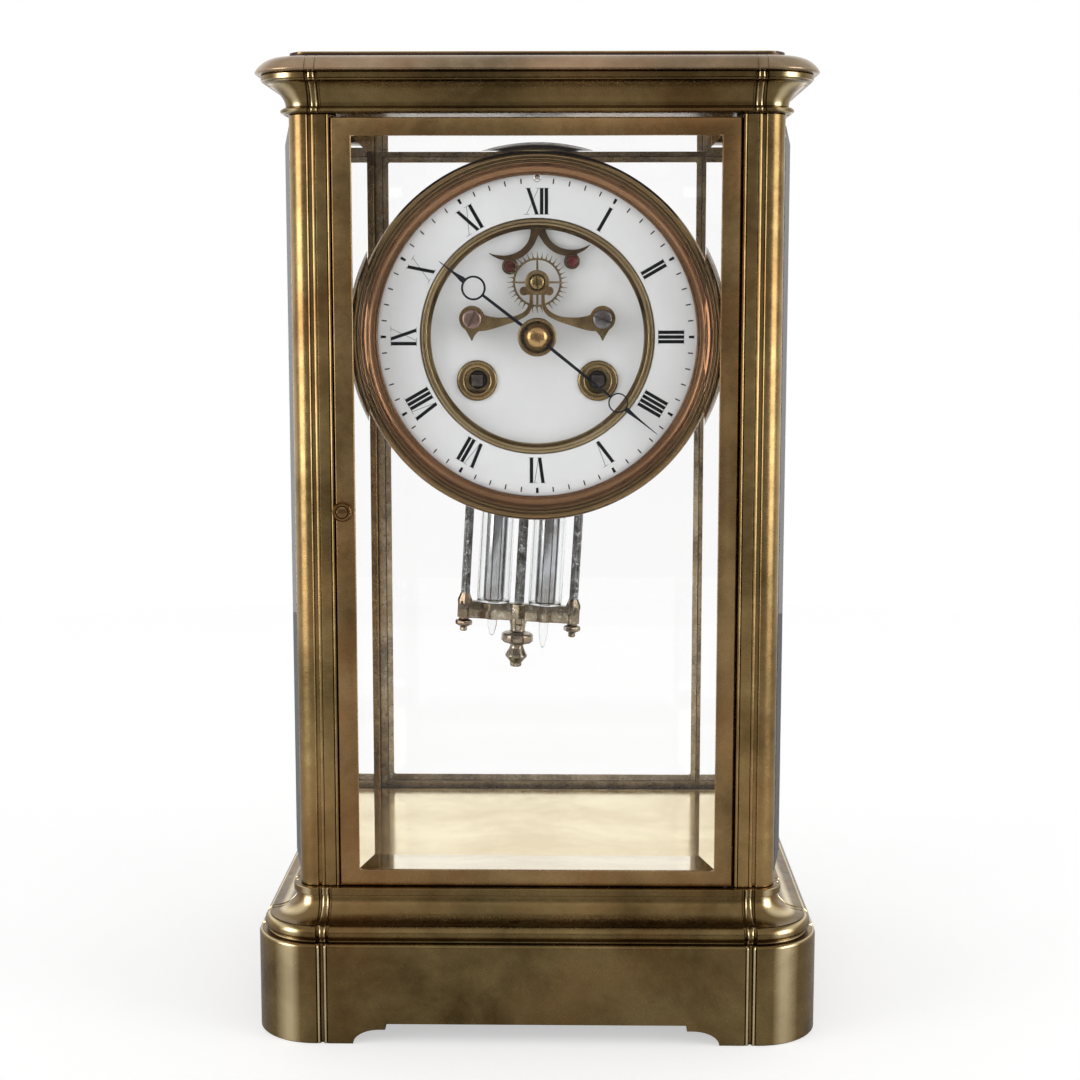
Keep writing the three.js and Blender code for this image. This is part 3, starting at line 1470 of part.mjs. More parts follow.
function bell() {
  const z = dialHeight + bellRise;
  const rim = bellRadius - bellWall;
  const crown = bellPlane + bellDepth;
  const cup = turned([
    [rim, bellPlane],
    [bellRadius, bellPlane],
    ...quarter([bellRadius, bellPlane], [0, crown], false),
    ...quarter([rim, bellPlane], [0, crown - bellWall], false).reverse(),
    [rim, bellPlane],
  ], 0, z, bellSides);
  const armBack = bellPlane - seat;
  const armFront = armBack - bellArm;
  const stem = bar(bellStemRadius, armFront, crown - bellWall / 2, 0, z);
  const armShape = ribbon(
    [[0, bellRise], [bellStandReach, bellStandRise]], [bellStemRadius, bellStemRadius],
  );
  const arm = plate(armShape, armFront, armBack, 0, dialHeight);
  const pillar = bar(
    bellStemRadius, backPlateBack + seat, armBack, bellStandReach, dialHeight + bellStandRise,
  );
  return join(cup, stem, arm, pillar);
}

function hammer() {
  const headX = -(bellRadius + hammerClearance + hammerHeadRadius);
  const headZ = hammerPlace.z - hammerHeadDrop;
  const headFront = bellPlane + bellWall;
  const armFront = headFront + hammerHeadLength / 2 - hammerArmThickness / 2;
  const arm = ribbon(
    [[hammerPlace.x, hammerPlace.z], [headX, headZ]], [hammerArmWidth / 2, hammerArmWidth / 2],
  );
  return join(
    bar(hammerArborRadius, frontPlateFront, headFront + hammerHeadLength, hammerPlace.x, hammerPlace.z),
    plate(arm, armFront, armFront + hammerArmThickness),
    bar(hammerHeadRadius, headFront, headFront + hammerHeadLength, headX, headZ),
  );
}

// Assembly

const clock = new THREE.Group();

function group(parent, x, y, z, turnY = 0, turnZ = 0) {
  const made = new THREE.Group();
  made.position.set(x, y, z);
  made.rotation.set(0, turnY, turnZ);
  parent.add(made);
  return made;
}

function add(name, shape, material, parent = clock) {
  const geometry = shape.isBufferGeometry ? closed(shape) : surface(shape);
  geometry.computeVertexNormals();
  const mesh = new THREE.Mesh(geometry, material);
  mesh.name = name;
  parent.add(mesh);
}

add('plinth', plinth(), agedBrass);
add('base_moulding', baseMoulding(), agedBrass);
add('floor_plate', floorPlate(), brightBrass);
for (const [name, sideX, sideY] of [
  ['front_left', -1, -1], ['front_right', 1, -1], ['rear_left', -1, 1], ['rear_right', 1, 1],
]) {
  add(`post_${name}`, casePost(sideX, sideY), agedBrass);
}
add('cornice', corniceFrame(), agedBrass);
add('cap_moulding', capFrame(), agedBrass);
add('top_panel', topPanel(), darkBrass);
add('side_glass_left', sideGlass(-1), clearGlass);
add('side_glass_right', sideGlass(1), clearGlass);

for (const [name, turn] of [['front', 0], ['rear', Math.PI]]) {
  const door = group(clock, 0, 0, 0, 0, turn);
  add(`${name}_door_frame`, doorFrame(), agedBrass, door);
  add(`${name}_glass`, doorGlass(), clearGlass, door);
  add(`${name}_catch`, doorCatch(), copperBrass, door);
  add(`${name}_hinge_pin_lower`, lowerHingePin(), steel, door);
  add(`${name}_hinge_pin_upper`, upperHingePin(), steel, door);
}

add('bezel', bezel(), copperBrass);
add('chapter_ring', chapterRing(), enamel);
add('sight_ring', sightRing(), agedBrass);
add('dial_centre', dialCentre(), enamel);
add('winding_ferrule_left', ferrule(strikePlace), brightBrass);
add('winding_ferrule_right', ferrule(goingPlace), brightBrass);

const hourGroup = group(clock, 0, 0, dialHeight, THREE.MathUtils.degToRad(hourAngle));
const minuteGroup = group(clock, 0, 0, dialHeight, THREE.MathUtils.degToRad(minuteAngle));
add('hour_hand', hourHand(), bluedSteel, hourGroup);
add('minute_hand', minuteHand(), bluedSteel, minuteGroup);
add('hand_nut', handNut(), brightBrass);
add('cannon_pinion', cannonPinion(), steel);
add('minute_wheel', minuteWheel(), movementBrass);
add('hour_wheel', hourWheel(), movementBrass);

add('front_plate', frontPlate(), movementBrass);
add('back_plate', backPlate(), movementBrass);
add('movement_bracket_left', movementBracket(-1), agedBrass);
add('movement_bracket_right', movementBracket(1), agedBrass);
add('going_barrel', barrel(goingPlace), movementBrass);
add('strike_barrel', barrel(strikePlace), movementBrass);
add('going_winding_arbor', windingArbor(goingPlace), steel);
add('strike_winding_arbor', windingArbor(strikePlace), steel);
add('intermediate_wheel', intermediateWheel(), movementBrass);
add('centre_wheel', centreWheel(), movementBrass);
add('third_wheel', thirdWheel(), movementBrass);
add('escape_wheel', escapeWheel(), brightBrass);
add('escape_bridge', escapeBridge(), agedBrass);
add('bridge_screw_left', bridgeScrew(-1), steel);
add('bridge_screw_right', bridgeScrew(1), steel);
add('regulator_arbor', regulatorArbor(), steel);

const anchorGroup = group(clock, 0, 0, anchorHeight, THREE.MathUtils.degToRad(anchorTurn));
add('anchor', anchor(), agedBrass, anchorGroup);
add('pallet_stone_left', palletStone(-1), ruby, anchorGroup);
add('pallet_stone_right', palletStone(1), ruby, anchorGroup);

const pendulumGroup = group(clock, 0, 0, anchorHeight, THREE.MathUtils.degToRad(pendulumTurn));
add('pendulum_cock', pendulumCock(), movementBrass);
add('pendulum_rod', pendulumRod(), steel, pendulumGroup);
add('pendulum_frame', pendulumFrame(), agedBrass, pendulumGroup);
add('vial_left', vial(-1, vialTipLengthLeft), vialGlass, pendulumGroup);
add('vial_right', vial(1, vialTipLengthRight), vialGlass, pendulumGroup);

add('bell', bell(), bellMetal);
add('hammer', hammer(), steel);

export default clock;
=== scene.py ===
"""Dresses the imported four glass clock: a moulded brass case with bevelled glasses, an enamel dial with a
visible escapement and a twin vial pendulum. Lengths in the code are millimetres, in the part's own frame."""
import math

import bmesh
import bpy
from mathutils import Matrix, Vector
from mathutils.geometry import delaunay_2d_cdt


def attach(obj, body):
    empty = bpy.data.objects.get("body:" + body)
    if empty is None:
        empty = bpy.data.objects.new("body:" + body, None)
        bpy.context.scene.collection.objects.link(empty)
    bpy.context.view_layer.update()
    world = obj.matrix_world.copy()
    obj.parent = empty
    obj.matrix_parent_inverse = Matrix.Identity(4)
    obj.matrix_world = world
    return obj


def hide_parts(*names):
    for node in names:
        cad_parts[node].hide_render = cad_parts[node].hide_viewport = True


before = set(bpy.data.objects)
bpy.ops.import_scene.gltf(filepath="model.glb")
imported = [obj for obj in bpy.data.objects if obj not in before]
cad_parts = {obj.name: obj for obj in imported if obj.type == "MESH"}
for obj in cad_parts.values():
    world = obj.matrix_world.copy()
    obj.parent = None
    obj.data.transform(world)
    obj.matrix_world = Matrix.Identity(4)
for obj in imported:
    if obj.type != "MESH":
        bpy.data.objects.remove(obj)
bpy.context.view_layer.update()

bl_info = {
    "name": "Four glass clock",
    "version": (1, 0, 0),
    "blender": (4, 5, 0),
    "location": "3D View > Sidebar > Clock",
    "description": "Builds the visible pieces of a four glass clock around its packed frame",
    "category": "Object",
}

MM = 0.001
WELD, SLIVER = 2e-6, 1e-7            # metres: points nearer than this become one, thinner faces go
MOST_OF_EDGE = 0.45                  # the share of an edge that a softened corner may take
SIDES = ((-1, "left"), (1, "right"))
CORNERS = (("front_left", -1, 1), ("front_right", 1, 1), ("rear_left", -1, -1), ("rear_right", 1, -1))
DOOR_FRONT = -71.0                   # the front door's face
WINDING = (21.4, -15.5)              # winding squares, from the dial's centre
ESCAPE_RISE, PIVOT_RISE, REGULATOR_RISE = 19, 40, 55     # over the dial's centre
MINUTE_STUD = (-9.83, -6.883)        # minute wheel's stud, from the dial's centre
ENAMEL_FACE = -53.0                  # front of the chapter ring
BRIDGE_FOOT = (22.9, 6.2)            # the escape bridge's feet, from the dial's centre
HAMMER = (-32, 16)                   # the hammer's arbor, from the dial's centre
STONE_X, STONE_DROP = 10.94, 14.6    # pallet stones, from the pivot
VIAL_X, SIDE_ROD_X = 10.2, 21.5      # vials and side rods, from the pendulum's middle
TOP_BAR, LOW_BAR = 74.0, 150.3       # middles of the pendulum's cross bars, under the pivot
PENDULUM_TURN, ANCHOR_TURN = 3.3, -4.8       # degrees from upright at rest
HOUR_TURN, MINUTE_TURN = 307.5, 128.8        # degrees from XII at rest


# Sizes and colours ---------------------------------------------------------------------------------------

def length(name, description, default):
    return bpy.props.FloatProperty(name=name, description=description, default=default * MM, unit="LENGTH",
                                   precision=5)


def colour(name, description, default):
    return bpy.props.FloatVectorProperty(name=name, description=description, default=default,
                                         subtype="COLOR", min=0, max=1)


class ClockSizes(bpy.types.PropertyGroup):
    """Sizes that the pieces share."""
    half_width: length("Half width", "Middle to the posts' outer faces", 84.8)
    half_depth: length("Half depth", "Middle to the posts' front faces", 71.0)
    corner: length("Corner", "Radius of the posts' rounded corners", 7.3)
    dial_height: length("Dial height", "Table to the dial's centre", 246.8)
    pivot_height: length("Pivot height", "Table to the pendulum's pivot", 286.8)
    pendulum_plane: length("Pendulum plane", "Depth of the pendulum's rods", 20.0)
    numeral_foot: length("Numeral foot", "Dial centre to the numerals' feet", 42.5)
    numeral_height: length("Numeral height", "Height of the numerals", 9.0)
    numeral_depth: length("Paint", "Thickness of the dial's painted marks", 0.05)
    floor_size: length("Floor", "Radius of the floor", 900.0)
    camera_x: length("Camera across", "Camera's place to the right", 11.4)
    camera_y: length("Camera away", "Camera's distance in front", 726.4)
    camera_z: length("Camera height", "Camera's height over the table", 261.6)


class ClockColours(bpy.types.PropertyGroup):
    """Base colours of the finishes, linear."""
    case_brass: colour("Case brass", "Aged brass of plinth and mouldings", (0.215, 0.151, 0.063))
    # The cap's paler, pinker brass is the case's brass lightened: a painted reflection of the bright overhead
    cap_brass: colour("Cap brass", "Paler, pinkish brass of the cap", (0.41, 0.315, 0.205))
    post_brass: colour("Post brass", "Brighter brass of the posts", (0.36, 0.248, 0.104))
    door_brass: colour("Door brass", "Warmer brass of the front door", (0.36, 0.238, 0.105))
    tarnished: colour("Tarnished brass", "Greyed brass of the rear door", (0.54, 0.43, 0.275))
    dark_brass: colour("Dark brass", "Stained top panel", (0.075, 0.05, 0.042))
    cove_copper: colour("Cove copper", "Coppery brass inside the bezel", (0.265, 0.148, 0.076))
    bezel_brass: colour("Bezel brass", "Reddish brass of bezel and knobs", (0.21, 0.142, 0.064))
    bright_brass: colour("Bright brass", "Polished brass of the nut", (0.50, 0.35, 0.155))
    eyelet_brass: colour("Eyelet brass", "Dulled brass of the winding holes", (0.28, 0.205, 0.095))
    floor_brass: colour("Floor brass", "Polished floor plate", (0.95, 0.84, 0.55))
    movement_brass: colour("Movement brass", "Brass of the movement", (0.52, 0.39, 0.18))
    bronze: colour("Bronze", "Dark brass of the escapement's cock and anchor", (0.23, 0.165, 0.078))
    anchor_bronze: colour("Anchor bronze", "Brown bronze of the anchor", (0.125, 0.085, 0.045))
    polished: colour("Polished steel", "Bright end of the regulator's arbor", (0.85, 0.85, 0.84))
    sight_brass: colour("Sight brass", "Olive brass of the sight ring", (0.34, 0.265, 0.145))
    enamel: colour("Enamel", "White enamel", (0.80, 0.81, 0.81))
    paint: colour("Paint", "Dial's black paint", (0.004, 0.004, 0.005))
    blued: colour("Hands", "Dark blued steel", (0.010, 0.011, 0.015))
    steel: colour("Steel", "Grey steel", (0.20, 0.19, 0.185))
    # The winding squares' dark brown is partly browned steel and partly painted shade of the recess they sit in
    dark_steel: colour("Dark steel", "Brown winding squares", (0.115, 0.10, 0.09))
    pink_steel: colour("Worn steel", "Reddened steel screw", (0.36, 0.25, 0.215))
    ruby: colour("Ruby", "Pallet stones", (0.09, 0.010, 0.006))
    rod_metal: colour("Rod metal", "Greyed plating of the rods", (0.20, 0.198, 0.19))
    frame_metal: colour("Frame metal", "Dull brass of the pendulum's bars", (0.31, 0.265, 0.19))
    mercury: colour("Mercury", "Filling of the vials", (0.40, 0.41, 0.43))
    bell_metal: colour("Bell metal", "Bell bronze", (0.52, 0.38, 0.20))
    stage: colour("Floor", "Pale floor", (0.58, 0.58, 0.58))


def sizes():
    """The size properties in millimetres."""
    group = bpy.context.scene.clock_sizes
    return {name: getattr(group, name) / MM for name in ClockSizes.__annotations__}


def on_dial(x=0.0, rise=0.0):
    """A place (x, z) given from the dial's centre."""
    return x, sizes()["dial_height"] + rise


def winding(side):
    """The place of a winding square."""
    return on_dial(side * WINDING[0], WINDING[1])


def from_pivot(x=0.0, drop=0.0):
    """A place (x, z) under the pendulum's pivot."""
    return x, sizes()["pivot_height"] - drop


def around_dial(radius, degrees):
    """A place (x, z) round the dial's centre, from three o'clock."""
    turn = math.radians(degrees)
    return on_dial(radius * math.cos(turn), radius * math.sin(turn))


def sided(points, side):
    """Points given for the right side, on the side asked for."""
    return [(side * x, *rest) for x, *rest in points]


# Flat outlines -------------------------------------------------------------------------------------------

def arc(x, y, radius, start, end, steps, radius_y=None):
    """Points on an arc, in degrees."""
    ry = radius if radius_y is None else radius_y
    turns = [math.radians(start + (end - start) * i / steps) for i in range(steps + 1)]
    return [(x + radius * math.cos(a), y + ry * math.sin(a)) for a in turns]


def circle(radius, sides, x=0, y=0):
    return arc(x, y, radius, 0, 360 - 360 / sides, sides - 1)


def rectangle(left, low, right, high):
    return [(left, low), (right, low), (right, high), (left, high)]


def soften(points, radius, steps=3, closed=True):
    """Rounds each corner of a line with a short curve that starts at most radius from it."""
    made = []
    count = len(points)
    for i, here in enumerate(points):
        if not closed and i in (0, count - 1):
            made.append(tuple(here))
            continue
        p, a, b = Vector(here), Vector(points[i - 1]), Vector(points[(i + 1) % count])
        reach_a, reach_b = (a - p).length, (b - p).length
        start = p + (a - p) * min(radius, reach_a * MOST_OF_EDGE) / reach_a
        end = p + (b - p) * min(radius, reach_b * MOST_OF_EDGE) / reach_b
        for k in range(steps + 1):
            t = k / steps
            q = start * (1 - t) ** 2 + p * 2 * t * (1 - t) + end * t * t
            made.append((q.x, q.y))
    return made


def smooth_line(points, steps=6):
    """A Catmull-Rom curve through points of any number of values."""
    rows = [points[0], *points, points[-1]]
    made = []
    for i in range(1, len(rows) - 2):
        for k in range(steps):
            t = k / steps
            made.append(tuple(
                0.5 * (2 * b + (c - a) * t + (2 * a - 5 * b + 4 * c - d) * t ** 2
                       + (3 * b - a - 3 * c + d) * t ** 3)
                for a, b, c, d in zip(rows[i - 1], rows[i], rows[i + 1], rows[i + 2])))
    return [*made, tuple(points[-1])]


def ribbon(points, steps=6):
    """Outline of a strip along (x, z, half width) points."""
    line = smooth_line(points, steps)
    left, right = [], []
    for i, (x, z, half) in enumerate(line):
        a, b = line[max(i - 1, 0)], line[min(i + 1, len(line) - 1)]
        run = Vector((b[0] - a[0], b[1] - a[1])).normalized()
        left.append((x - run.y * half, z + run.x * half))
        right.append((x + run.y * half, z - run.x * half))
    return left + right[::-1]


def windows(inner, outer, spokes, width):
    """The gaps between a wheel's spokes."""
    made = []
    for i in range(spokes):
        start, end = 360 * i / spokes, 360 * (i + 1) / spokes
        out_skip = math.degrees(math.asin(width / 2 / outer))
        in_skip = math.degrees(math.asin(width / 2 / inner))
        made.append(arc(0, 0, outer, start + out_skip, end - out_skip, 10)
                    + arc(0, 0, inner, end - in_skip, start + in_skip, 5))
    return made


def mirrored(points):
    return [(-x, y) for x, y in reversed(points)]


def united(shapes, holes=()):
    """Outer outline and holes of overlapping flat shapes taken together, less the given holes."""
    points, faces = [], []
    for shape in [*shapes, *holes]:
        corners = list(range(len(points), len(points) + len(shape)))
        points += [Vector(p) for p in shape]
        faces.append(corners if area(shape) > 0 else corners[::-1])
    verts, _, cells, _, _, sources = delaunay_2d_cdt(points, [], faces, 1, 1e-5)
    kept = [cell for cell, source in zip(cells, sources)
            if any(i < len(shapes) for i in source) and all(i < len(shapes) for i in source)]
    sides = {(a, b) for cell in kept for a, b in zip(cell, [*cell[1:], cell[0]])}
    onward = {a: b for a, b in sides if (b, a) not in sides}
    loops = []
    while onward:
        start, here = onward.popitem()
        loop = [start]
        while here != start:
            loop.append(here)
            here = onward.pop(here)
        line = [(verts[i].x, verts[i].y) for i in loop]
        loops.append([p for i, p in enumerate(line) if math.dist(p, line[i - 1]) > 0.03])
    loops.sort(key=lambda loop: -abs(area(loop)))
    return loops[0], loops[1:]


# Meshes --------------------------------------------------------------------------------------------------

def mesh_of(verts, faces, weld=WELD, slivers=False):
    """A mesh from millimetre points, cleaned by tidy."""
    mesh = bpy.data.meshes.new("part")
    mesh.from_pydata([[c * MM for c in v] for v in verts], [], faces)
    tidy(mesh, weld, slivers)
    return mesh


def tidy(mesh, weld=WELD, slivers=False):
    """Welds points, takes out slivers where asked and turns the normals outwards."""
    bm = bmesh.new()
    bm.from_mesh(mesh)
    bmesh.ops.remove_doubles(bm, verts=bm.verts, dist=weld)
    if slivers:
        bmesh.ops.dissolve_degenerate(bm, dist=SLIVER, edges=bm.edges)
    bmesh.ops.recalc_face_normals(bm, faces=bm.faces)
    bm.to_mesh(mesh)
    bm.free()


def skin(loops, closed=False, **finish):
    """A body over loops of equally many points: with flat ends, or a ring when closed."""
    rows, count = len(loops), len(loops[0])
    faces = [] if closed else [tuple(range(count))[::-1], tuple(range((rows - 1) * count, rows * count))]
    for j in range(rows if closed else rows - 1):
        here, there = j * count, (j + 1) % rows * count
        faces += [(here + i, here + (i + 1) % count, there + (i + 1) % count, there + i) for i in range(count)]
    return mesh_of([point for loop in loops for point in loop], faces, **finish)


def lathe(profile, at, sides=48, axis="Y", flutes=0, flute_depth=0.0):
    """Turns (radius, along) points about an axis along Y through (x, z), or along Z through (x, y)."""
    closed = profile[0] == profile[-1]
    loops = []
    for radius, along in profile[:-1] if closed else profile:
        loop = []
        for i in range(sides):
            turn = 2 * math.pi * i / sides
            r = radius
            if flutes and radius > flute_depth:
                r = radius - flute_depth * (0.5 - 0.5 * math.cos(flutes * turn))
            x, across = at[0] + r * math.cos(turn), at[1] + r * math.sin(turn)
            loop.append((x, along, across) if axis == "Y" else (x, across, along))
        loops.append(loop)
    return skin(loops, closed, slivers=True)


def ring(section, at, sides, soft, steps=3):
    """A closed section with softened corners, turned about an axis along Y."""
    line = soften(section, soft, steps)
    return lathe([*line, line[0]], at, sides)


def rod(radius, low, high, at, sides, axis="Y"):
    """A plain cylinder."""
    return lathe([(0, low), (radius, low), (radius, high), (0, high)], at, sides, axis)


def evaluated(obj):
    """The mesh that an object's modifiers or curve settings give. The object is removed."""
    bpy.context.view_layer.update()
    mesh = bpy.data.meshes.new_from_object(obj.evaluated_get(bpy.context.evaluated_depsgraph_get()))
    data = obj.data
    bpy.data.objects.remove(obj)
    if isinstance(data, bpy.types.Curve):
        bpy.data.curves.remove(data)
    return mesh


def linked(name, data):
    obj = bpy.data.objects.new(name, data)
    bpy.context.scene.collection.objects.link(obj)
    return obj


def area(points):
    return sum(points[i - 1][0] * p[1] - p[0] * points[i - 1][1] for i, p in enumerate(points)) / 2


def plate(outline, front, back, holes=(), edge=0.12, steps=1, at=(0.0, 0.0)):
    """A flat piece with rounded edges, cut to an outline in X and Z, from y = front to y = back."""
    curve = bpy.data.curves.new("cut", "CURVE")
    curve.dimensions = "2D"
    curve.fill_mode = "BOTH"
    curve.extrude = ((back - front) / 2 - edge) * MM
    curve.bevel_depth = edge * MM
    curve.bevel_resolution = steps
    curve.offset = -edge * MM
    for loop, wanted in [(outline, 1)] + [(hole, -1) for hole in holes]:
        points = loop if area(loop) * wanted > 0 else loop[::-1]
        spline = curve.splines.new("POLY")
        spline.points.add(len(points) - 1)
        for point, (x, z) in zip(spline.points, points):
            point.co = (x * MM, z * MM, 0, 1)
        spline.use_cyclic_u = True
    mesh = evaluated(linked("cut", curve))
    mesh.transform(Matrix.Translation((at[0] * MM, (front + back) / 2 * MM, at[1] * MM))
                   @ Matrix.Rotation(math.pi / 2, 4, "X"))
    tidy(mesh)
    return mesh


def prism(outline, low, high):
    """A straight prism over an outline in X and Y."""
    return skin([[(x, y, level) for x, y in outline] for level in (low, high)])


def block(corner, opposite, edge=0):
    """A box between two opposite corners, its edges softened."""
    mesh = bpy.data.meshes.new("part")
    bm = bmesh.new()
    bmesh.ops.create_cube(bm, size=1)
    centre = [(a + b) / 2 * MM for a, b in zip(corner, opposite)]
    span = [abs(b - a) * MM for a, b in zip(corner, opposite)]
    bm.transform(Matrix.Translation(centre) @ Matrix.Diagonal((*span, 1)))
    if edge:
        bmesh.ops.bevel(bm, geom=bm.edges[:], offset=min(edge * MM, min(span) * 0.4), segments=2, profile=0.5,
                        affect="EDGES", clamp_overlap=True)
    bm.to_mesh(mesh)
    bm.free()
    return mesh


def joined(*meshes):
    """Several closed meshes as one."""
    bm = bmesh.new()
    for mesh in meshes:
        bm.from_mesh(mesh)
    made = bpy.data.meshes.new("part")
    bm.to_mesh(made)
    bm.free()
    return made


def flipped(mesh):
    """The mesh inside out, for the inner wall of a hollow."""
    mesh.flip_normals()
    return mesh


def cut(mesh, tools):
    """The mesh less the tools."""
    obj = linked("work", mesh)
    helpers = [linked("tool", tool) for tool in tools]
    for helper in helpers:
        modifier = obj.modifiers.new("cut", "BOOLEAN")
        modifier.operation = "DIFFERENCE"
        modifier.solver = "EXACT"
        modifier.object = helper
    made = evaluated(obj)
    for helper in helpers:
        bpy.data.objects.remove(helper)
    return made


def turned(mesh, degrees, x, z):
    """The mesh turned about an axis along Y through (x, z)."""
    place = Matrix.Translation((x * MM, 0, z * MM))
    made = mesh.copy()
    made.transform(place @ Matrix.Rotation(math.radians(degrees), 4, "Y") @ place.inverted())
    return made


def slotted(head, at, reach, half, front, back, turn):
    """A head with a screwdriver slot cut across it."""
    x, z = at
    slot = block((x - reach, front, z - half), (x + reach, back, z + half))
    return cut(head, [turned(slot, turn, x, z)])


def spun(mesh):
    """The mesh turned half way round the upright axis, as the rear door is."""
    made = mesh.copy()
    made.transform(Matrix.Rotation(math.pi, 4, "Z"))
    return made


def piece(name, mesh, look, body, nodes=(), sharp=35):
    """Links a finished mesh, gives it its look, ties it to its body and hides the CAD nodes that it replaces.
    """
    obj = linked(name, mesh)
    mesh.name = name
    mesh.materials.clear()
    mesh.materials.append(material(look))
    mesh.polygons.foreach_set("use_smooth", [True] * len(mesh.polygons))
    mesh.polygons.foreach_set("material_index", [0] * len(mesh.polygons))
    mesh.set_sharp_from_angle(angle=math.radians(sharp))
    mesh.update()
    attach(obj, body)
    if nodes:
        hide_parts(*nodes)


def dress(look, *nodes):
    """Gives a look to CAD nodes that stay in view."""
    for name in nodes:
        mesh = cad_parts[name].data
        mesh.materials.clear()
        mesh.materials.append(material(look))


# Looks ---------------------------------------------------------------------------------------------------

# look: record slot, roughness low and high, mottling, copper blush, crevice darkening (painted shade with some
# dirt), bump, scale of the mottling
METALS = {
    "case_brass": ("case_brass", 0.20, 0.36, 0.45, 0.35, 0.45, 0.10, 30),
    # Cap: paler brass, a painted reflection of the bright overhead
    "cap_brass": ("case_brass", 0.18, 0.32, 0.40, 0.40, 0.80, 0.06, 30),
    "post_brass": ("case_brass", 0.16, 0.32, 0.42, 0.30, 0.80, 0.10, 34),
    "door_brass": ("case_brass", 0.20, 0.36, 0.38, 0.45, 0.75, 0.08, 30),
    "tarnished": ("case_brass", 0.22, 0.40, 0.50, 0.10, 0.70, 0.08, 60),
    "dark_brass": ("dark_brass", 0.25, 0.45, 0.35, 0.20, 0.40, 0.10, 30),
    "cove_copper": ("copper_brass", 0.14, 0.22, 0.24, 0.30, 0.85, 0.0, 12),
    "bezel_brass": ("copper_brass", 0.14, 0.24, 0.26, 0.40, 0.85, 0.0, 12),
    "bright_brass": ("bright_brass", 0.16, 0.30, 0.30, 0.30, 0.80, 0.06, 90),
    "eyelet_brass": ("bright_brass", 0.18, 0.30, 0.20, 0.30, 0.90, 0.02, 60),
    "floor_brass": ("bright_brass", 0.08, 0.18, 0.10, 0.00, 0.40, 0.03, 24),
    "movement_brass": ("movement_brass", 0.22, 0.40, 0.30, 0.20, 0.60, 0.06, 60),
    "bronze": ("case_brass", 0.22, 0.42, 0.40, 0.40, 0.70, 0.08, 120),
    "anchor_bronze": ("case_brass", 0.24, 0.42, 0.40, 0.50, 0.70, 0.08, 120),
    "polished": ("steel", 0.10, 0.20, 0.10, 0.00, 0.30, 0.03, 160),
    "sight_brass": ("case_brass", 0.16, 0.28, 0.20, 0.10, 0.75, 0.01, 16),
    "steel": ("steel", 0.25, 0.42, 0.35, 0.00, 0.80, 0.08, 160),
    # Winding squares: browned steel, partly painted shade of their recess
    "dark_steel": ("steel", 0.28, 0.45, 0.35, 0.20, 0.80, 0.06, 160),
    "pink_steel": ("steel", 0.25, 0.42, 0.30, 0.50, 0.80, 0.08, 160),
    "rod_metal": ("pendulum_metal", 0.20, 0.42, 0.65, 0.00, 0.70, 0.08, 160),
    "frame_metal": ("pendulum_metal", 0.10, 0.24, 0.45, 0.35, 0.80, 0.04, 70),
    "bell_metal": ("bell_metal", 0.24, 0.40, 0.25, 0.20, 0.60, 0.06, 40),
    "mercury": ("pendulum_metal", 0.06, 0.16, 0.25, 0.00, 0.20, 0.03, 60),
}
# look: record slot, scale of the clouding, its share, roughness low and high, specular level, coat
COATED = {
    "enamel": ("enamel", 45, 0.03, 0.10, 0.20, 0.35, 0.0),
    "paint": ("enamel", 300, 0.40, 0.40, 0.55, 0.12, 0.0),
    "blued": ("blued_steel", 300, 0.50, 0.25, 0.40, 0.12, 0.0),
    "ruby": ("ruby", 300, 0.60, 0.05, 0.15, 0.30, 0.15),
}
# look: record slot, tint
GLASSES = {
    "clear_glass": ("clear_glass", (1.0, 1.0, 1.0, 1)),
    "vial_glass": ("vial_glass", (0.97, 0.98, 0.98, 1)),
}
FLECKS = {"tarnished": (0.32, 520), "rod_metal": (0.7, 520), "frame_metal": (0.35, 380)}  # share, scale
# Paler brass on a band of the case's rounded corners: a painted highlight streak, partly wear
WEAR_AND_HIGHLIGHT = {"case_brass": (3.5, 4.0, 5.6)}     # brightening of the case's rounded corners
# The last of these is the colour of the crevices' darkening: painted shade, with some dirt
EVEN, DARKENED, COPPERY, SHADE_AND_GRIME_TINT = (1, 1, 1), (0.95, 0.88, 0.8), (1.12, 0.74, 0.62), (0.16, 0.13, 0.1)
SCRATCH_STRETCH = (160, 900, 2600)
# The second is how far the occlusion looks that paints shade and dirt into crevices
RELIEF, SHADE_AND_DIRT_REACH = 0.0002, 0.0014          # metres
GLASS_IOR, GLASS_SHADE = 1.52, 0.90


def feed(tree, made, **values):
    """Sets a node's properties and inputs. An input that is given another node's output is linked to it."""
    for name, value in values.items():
        label = name.replace("_", " ")
        if label not in made.inputs:
            setattr(made, name, value)
        elif isinstance(value, bpy.types.NodeSocket):
            tree.links.new(value, made.inputs[label])
        else:
            made.inputs[label].default_value = value
    return made


def node(tree, kind, **values):
    return feed(tree, tree.nodes.new(kind), **values)


def maths(tree, operation, *terms, **values):
    made = node(tree, "ShaderNodeMath", operation=operation, **values)
    for term, socket in zip(terms, made.inputs):
        tree.links.new(term, socket)
    return made.outputs[0]


def noise(tree, place, scale, detail, roughness=0.55, distortion=0.0):
    return node(tree, "ShaderNodeTexNoise", Vector=place, Scale=scale, Detail=detail, Roughness=roughness,
                Distortion=distortion).outputs["Fac"]


def ranged(tree, value, low, high, to_low, to_high):
    return node(tree, "ShaderNodeMapRange", Value=value, From_Min=low, From_Max=high, To_Min=to_low,
                To_Max=to_high).outputs["Result"]


